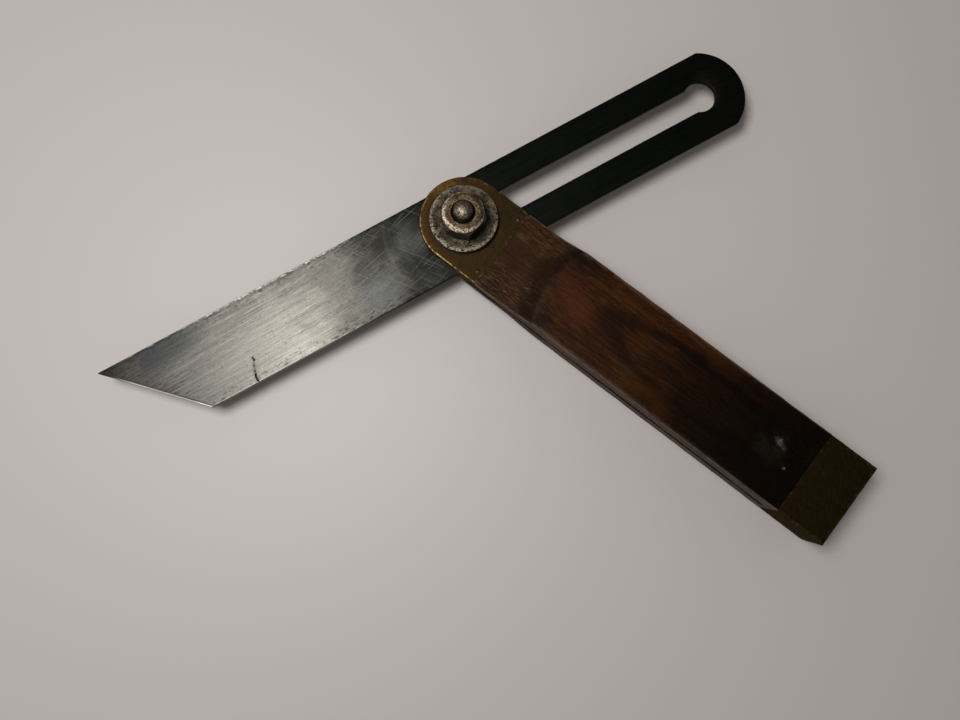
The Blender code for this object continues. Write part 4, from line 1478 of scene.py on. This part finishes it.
washer_outer = washer_high.x
washer_inner = screw_radius + 0.45 * MM
soft = 0.3 * MM
washer_profile = [(washer_inner, washer_low.z), (washer_outer - soft / 2, washer_low.z),
                  (washer_outer, washer_low.z + soft / 2), (washer_outer, washer_high.z - soft),
                  (washer_outer - soft * 0.3, washer_high.z - soft * 0.3),
                  (washer_outer - soft, washer_high.z), (washer_inner + soft / 2, washer_high.z),
                  (washer_inner, washer_high.z - soft / 2)]
washer = turned(widened(washer_profile, 0.6 * MM), 120)
finish_piece("worn_washer", washer, "washer", "washer", washer_steel,
             dents=(0.10, 1.5, 2.0))

# %% Model the nut
nut_flat = 5.9 * MM
nut_corner = nut_flat / math.cos(math.pi / 6)
nut_rest_angle = math.radians(-38.3)
nut_bore = screw_radius + 0.08 * MM
nut_face = nut_flat - 0.15 * MM
nut_rim = nut_flat - 1.1 * MM
nut = bmesh.new()
bmesh.ops.create_cone(nut, cap_ends=True, segments=6, radius1=nut_corner, radius2=nut_corner,
                      depth=nut_high.z - nut_low.z)
bmesh.ops.translate(nut, verts=nut.verts, vec=(0, 0, (nut_low.z + nut_high.z) / 2))
first_corner = max(nut.verts, key=lambda vert: vert.co.x)
turn_back = nut_rest_angle - math.atan2(first_corner.co.y, first_corner.co.x)
turn_about_z(nut, turn_back)
round_edges(nut, 0.25 * MM, lambda edge: abs(middle(edge).z - (nut_low.z + nut_high.z) / 2) < MERGE)
far = nut_corner + overrun
drop = (nut_corner - nut_face) * math.tan(math.radians(30)) + 0.4 * MM
chamfer = [(nut_rim, nut_high.z), (nut_face, nut_high.z - 0.32 * MM), (nut_corner, nut_high.z - drop),
           (far, nut_high.z - drop), (far, nut_high.z + overrun), (nut_rim, nut_high.z + overrun)]
bore_profile = [(0, nut_low.z - overrun), (nut_bore, nut_low.z - overrun),
                (nut_bore, nut_high.z - 0.2 * MM),
                (nut_bore + 0.2 * MM + overrun, nut_high.z + overrun), (0, nut_high.z + overrun)]
nut = carve(nut, [turned(chamfer, 96), turned(bore_profile, 72)])
slice_grid(nut, 2, nut_low.z, nut_high.z, 0.7 * MM)
slice_grid(nut, 0, -nut_corner, nut_corner, 0.5 * MM)
slice_grid(nut, 1, -nut_corner, nut_corner, 0.5 * MM)
finish_piece("worn_nut", nut, "nut", "nut", nut_steel, dents=(0.06, 1.0, 1.4))


# %% [markdown]
# The thread is a ridge that climbs 1.27 mm a turn. A triangle is spun about the axis while it rises,
# which is what the spin operator's dvec is for. Its foot is sunk in the core, so that the two shapes
# meet along a clean root.

# %% Model the screw
pitch = 1.27 * MM
core_radius = 2.62 * MM
end_radius = 2.74 * MM
head_radius = 6.2 * MM
head_round = 0.9 * MM
head_top = -half_neck - 0.3 * MM
driver_half = 0.7 * MM
driver_depth = 1.35 * MM
crown_start = screw_high.z - 1.2 * MM
crown = [(radius * MM, crown_start + height * MM) for radius, height in (
    (2.72, 0.26), (2.62, 0.50), (2.42, 0.72), (2.10, 0.90), (1.70, 1.03), (1.20, 1.12), (0.6, 1.17))]
thread_start = half_neck - 1.0 * MM
screw_profile = [(0, screw_low.z), (head_radius - head_round, screw_low.z),
                 (head_radius, screw_low.z + head_round),
                 (head_radius, head_top), (screw_radius, head_top), (screw_radius, thread_start),
                 (core_radius, thread_start + 0.5 * MM), (core_radius, nut_high.z - 0.1 * MM),
                 (end_radius, nut_high.z + 0.2 * MM), (end_radius, crown_start)]
screw_profile = widened(screw_profile, 0.8 * MM) + crown + [(0, screw_high.z)]
screw = turned(screw_profile, 72)
driver_slot = box((-2 * head_radius, -driver_half, screw_low.z - overrun),
                  (2 * head_radius, driver_half, screw_low.z + driver_depth))
screw = carve(screw, [driver_slot])
turn_about_z(screw, blade_rest_angle)

THREAD_STEPS = 40
thread_turns = int((nut_high.z - thread_start) / pitch)
ridge = bmesh.new()
root = core_radius - 0.1 * MM
corners = [(root, 0), (screw_radius, pitch * 0.44), (screw_radius, pitch * 0.50), (root, pitch * 0.94)]
points = [ridge.verts.new((radius, 0, thread_start + height)) for radius, height in corners]
bmesh.ops.spin(ridge, geom=region([ridge.faces.new(points)]), cent=(0, 0, 0), axis=(0, 0, 1),
               angle=math.tau * thread_turns, steps=THREAD_STEPS * thread_turns,
               dvec=(0, 0, pitch / THREAD_STEPS), use_merge=False)
bmesh.ops.holes_fill(ridge, edges=ridge.edges, sides=0)
thread_mesh = bpy.data.meshes.new("thread")
ridge.to_mesh(thread_mesh)
ridge.free()
screw.from_mesh(thread_mesh)
finish_piece("worn_screw", screw, "clamp_screw", "clamp_screw", screw_steel)


# %% [markdown]
# ## The size
# The dressed tool has to stay the size of the CAD model.
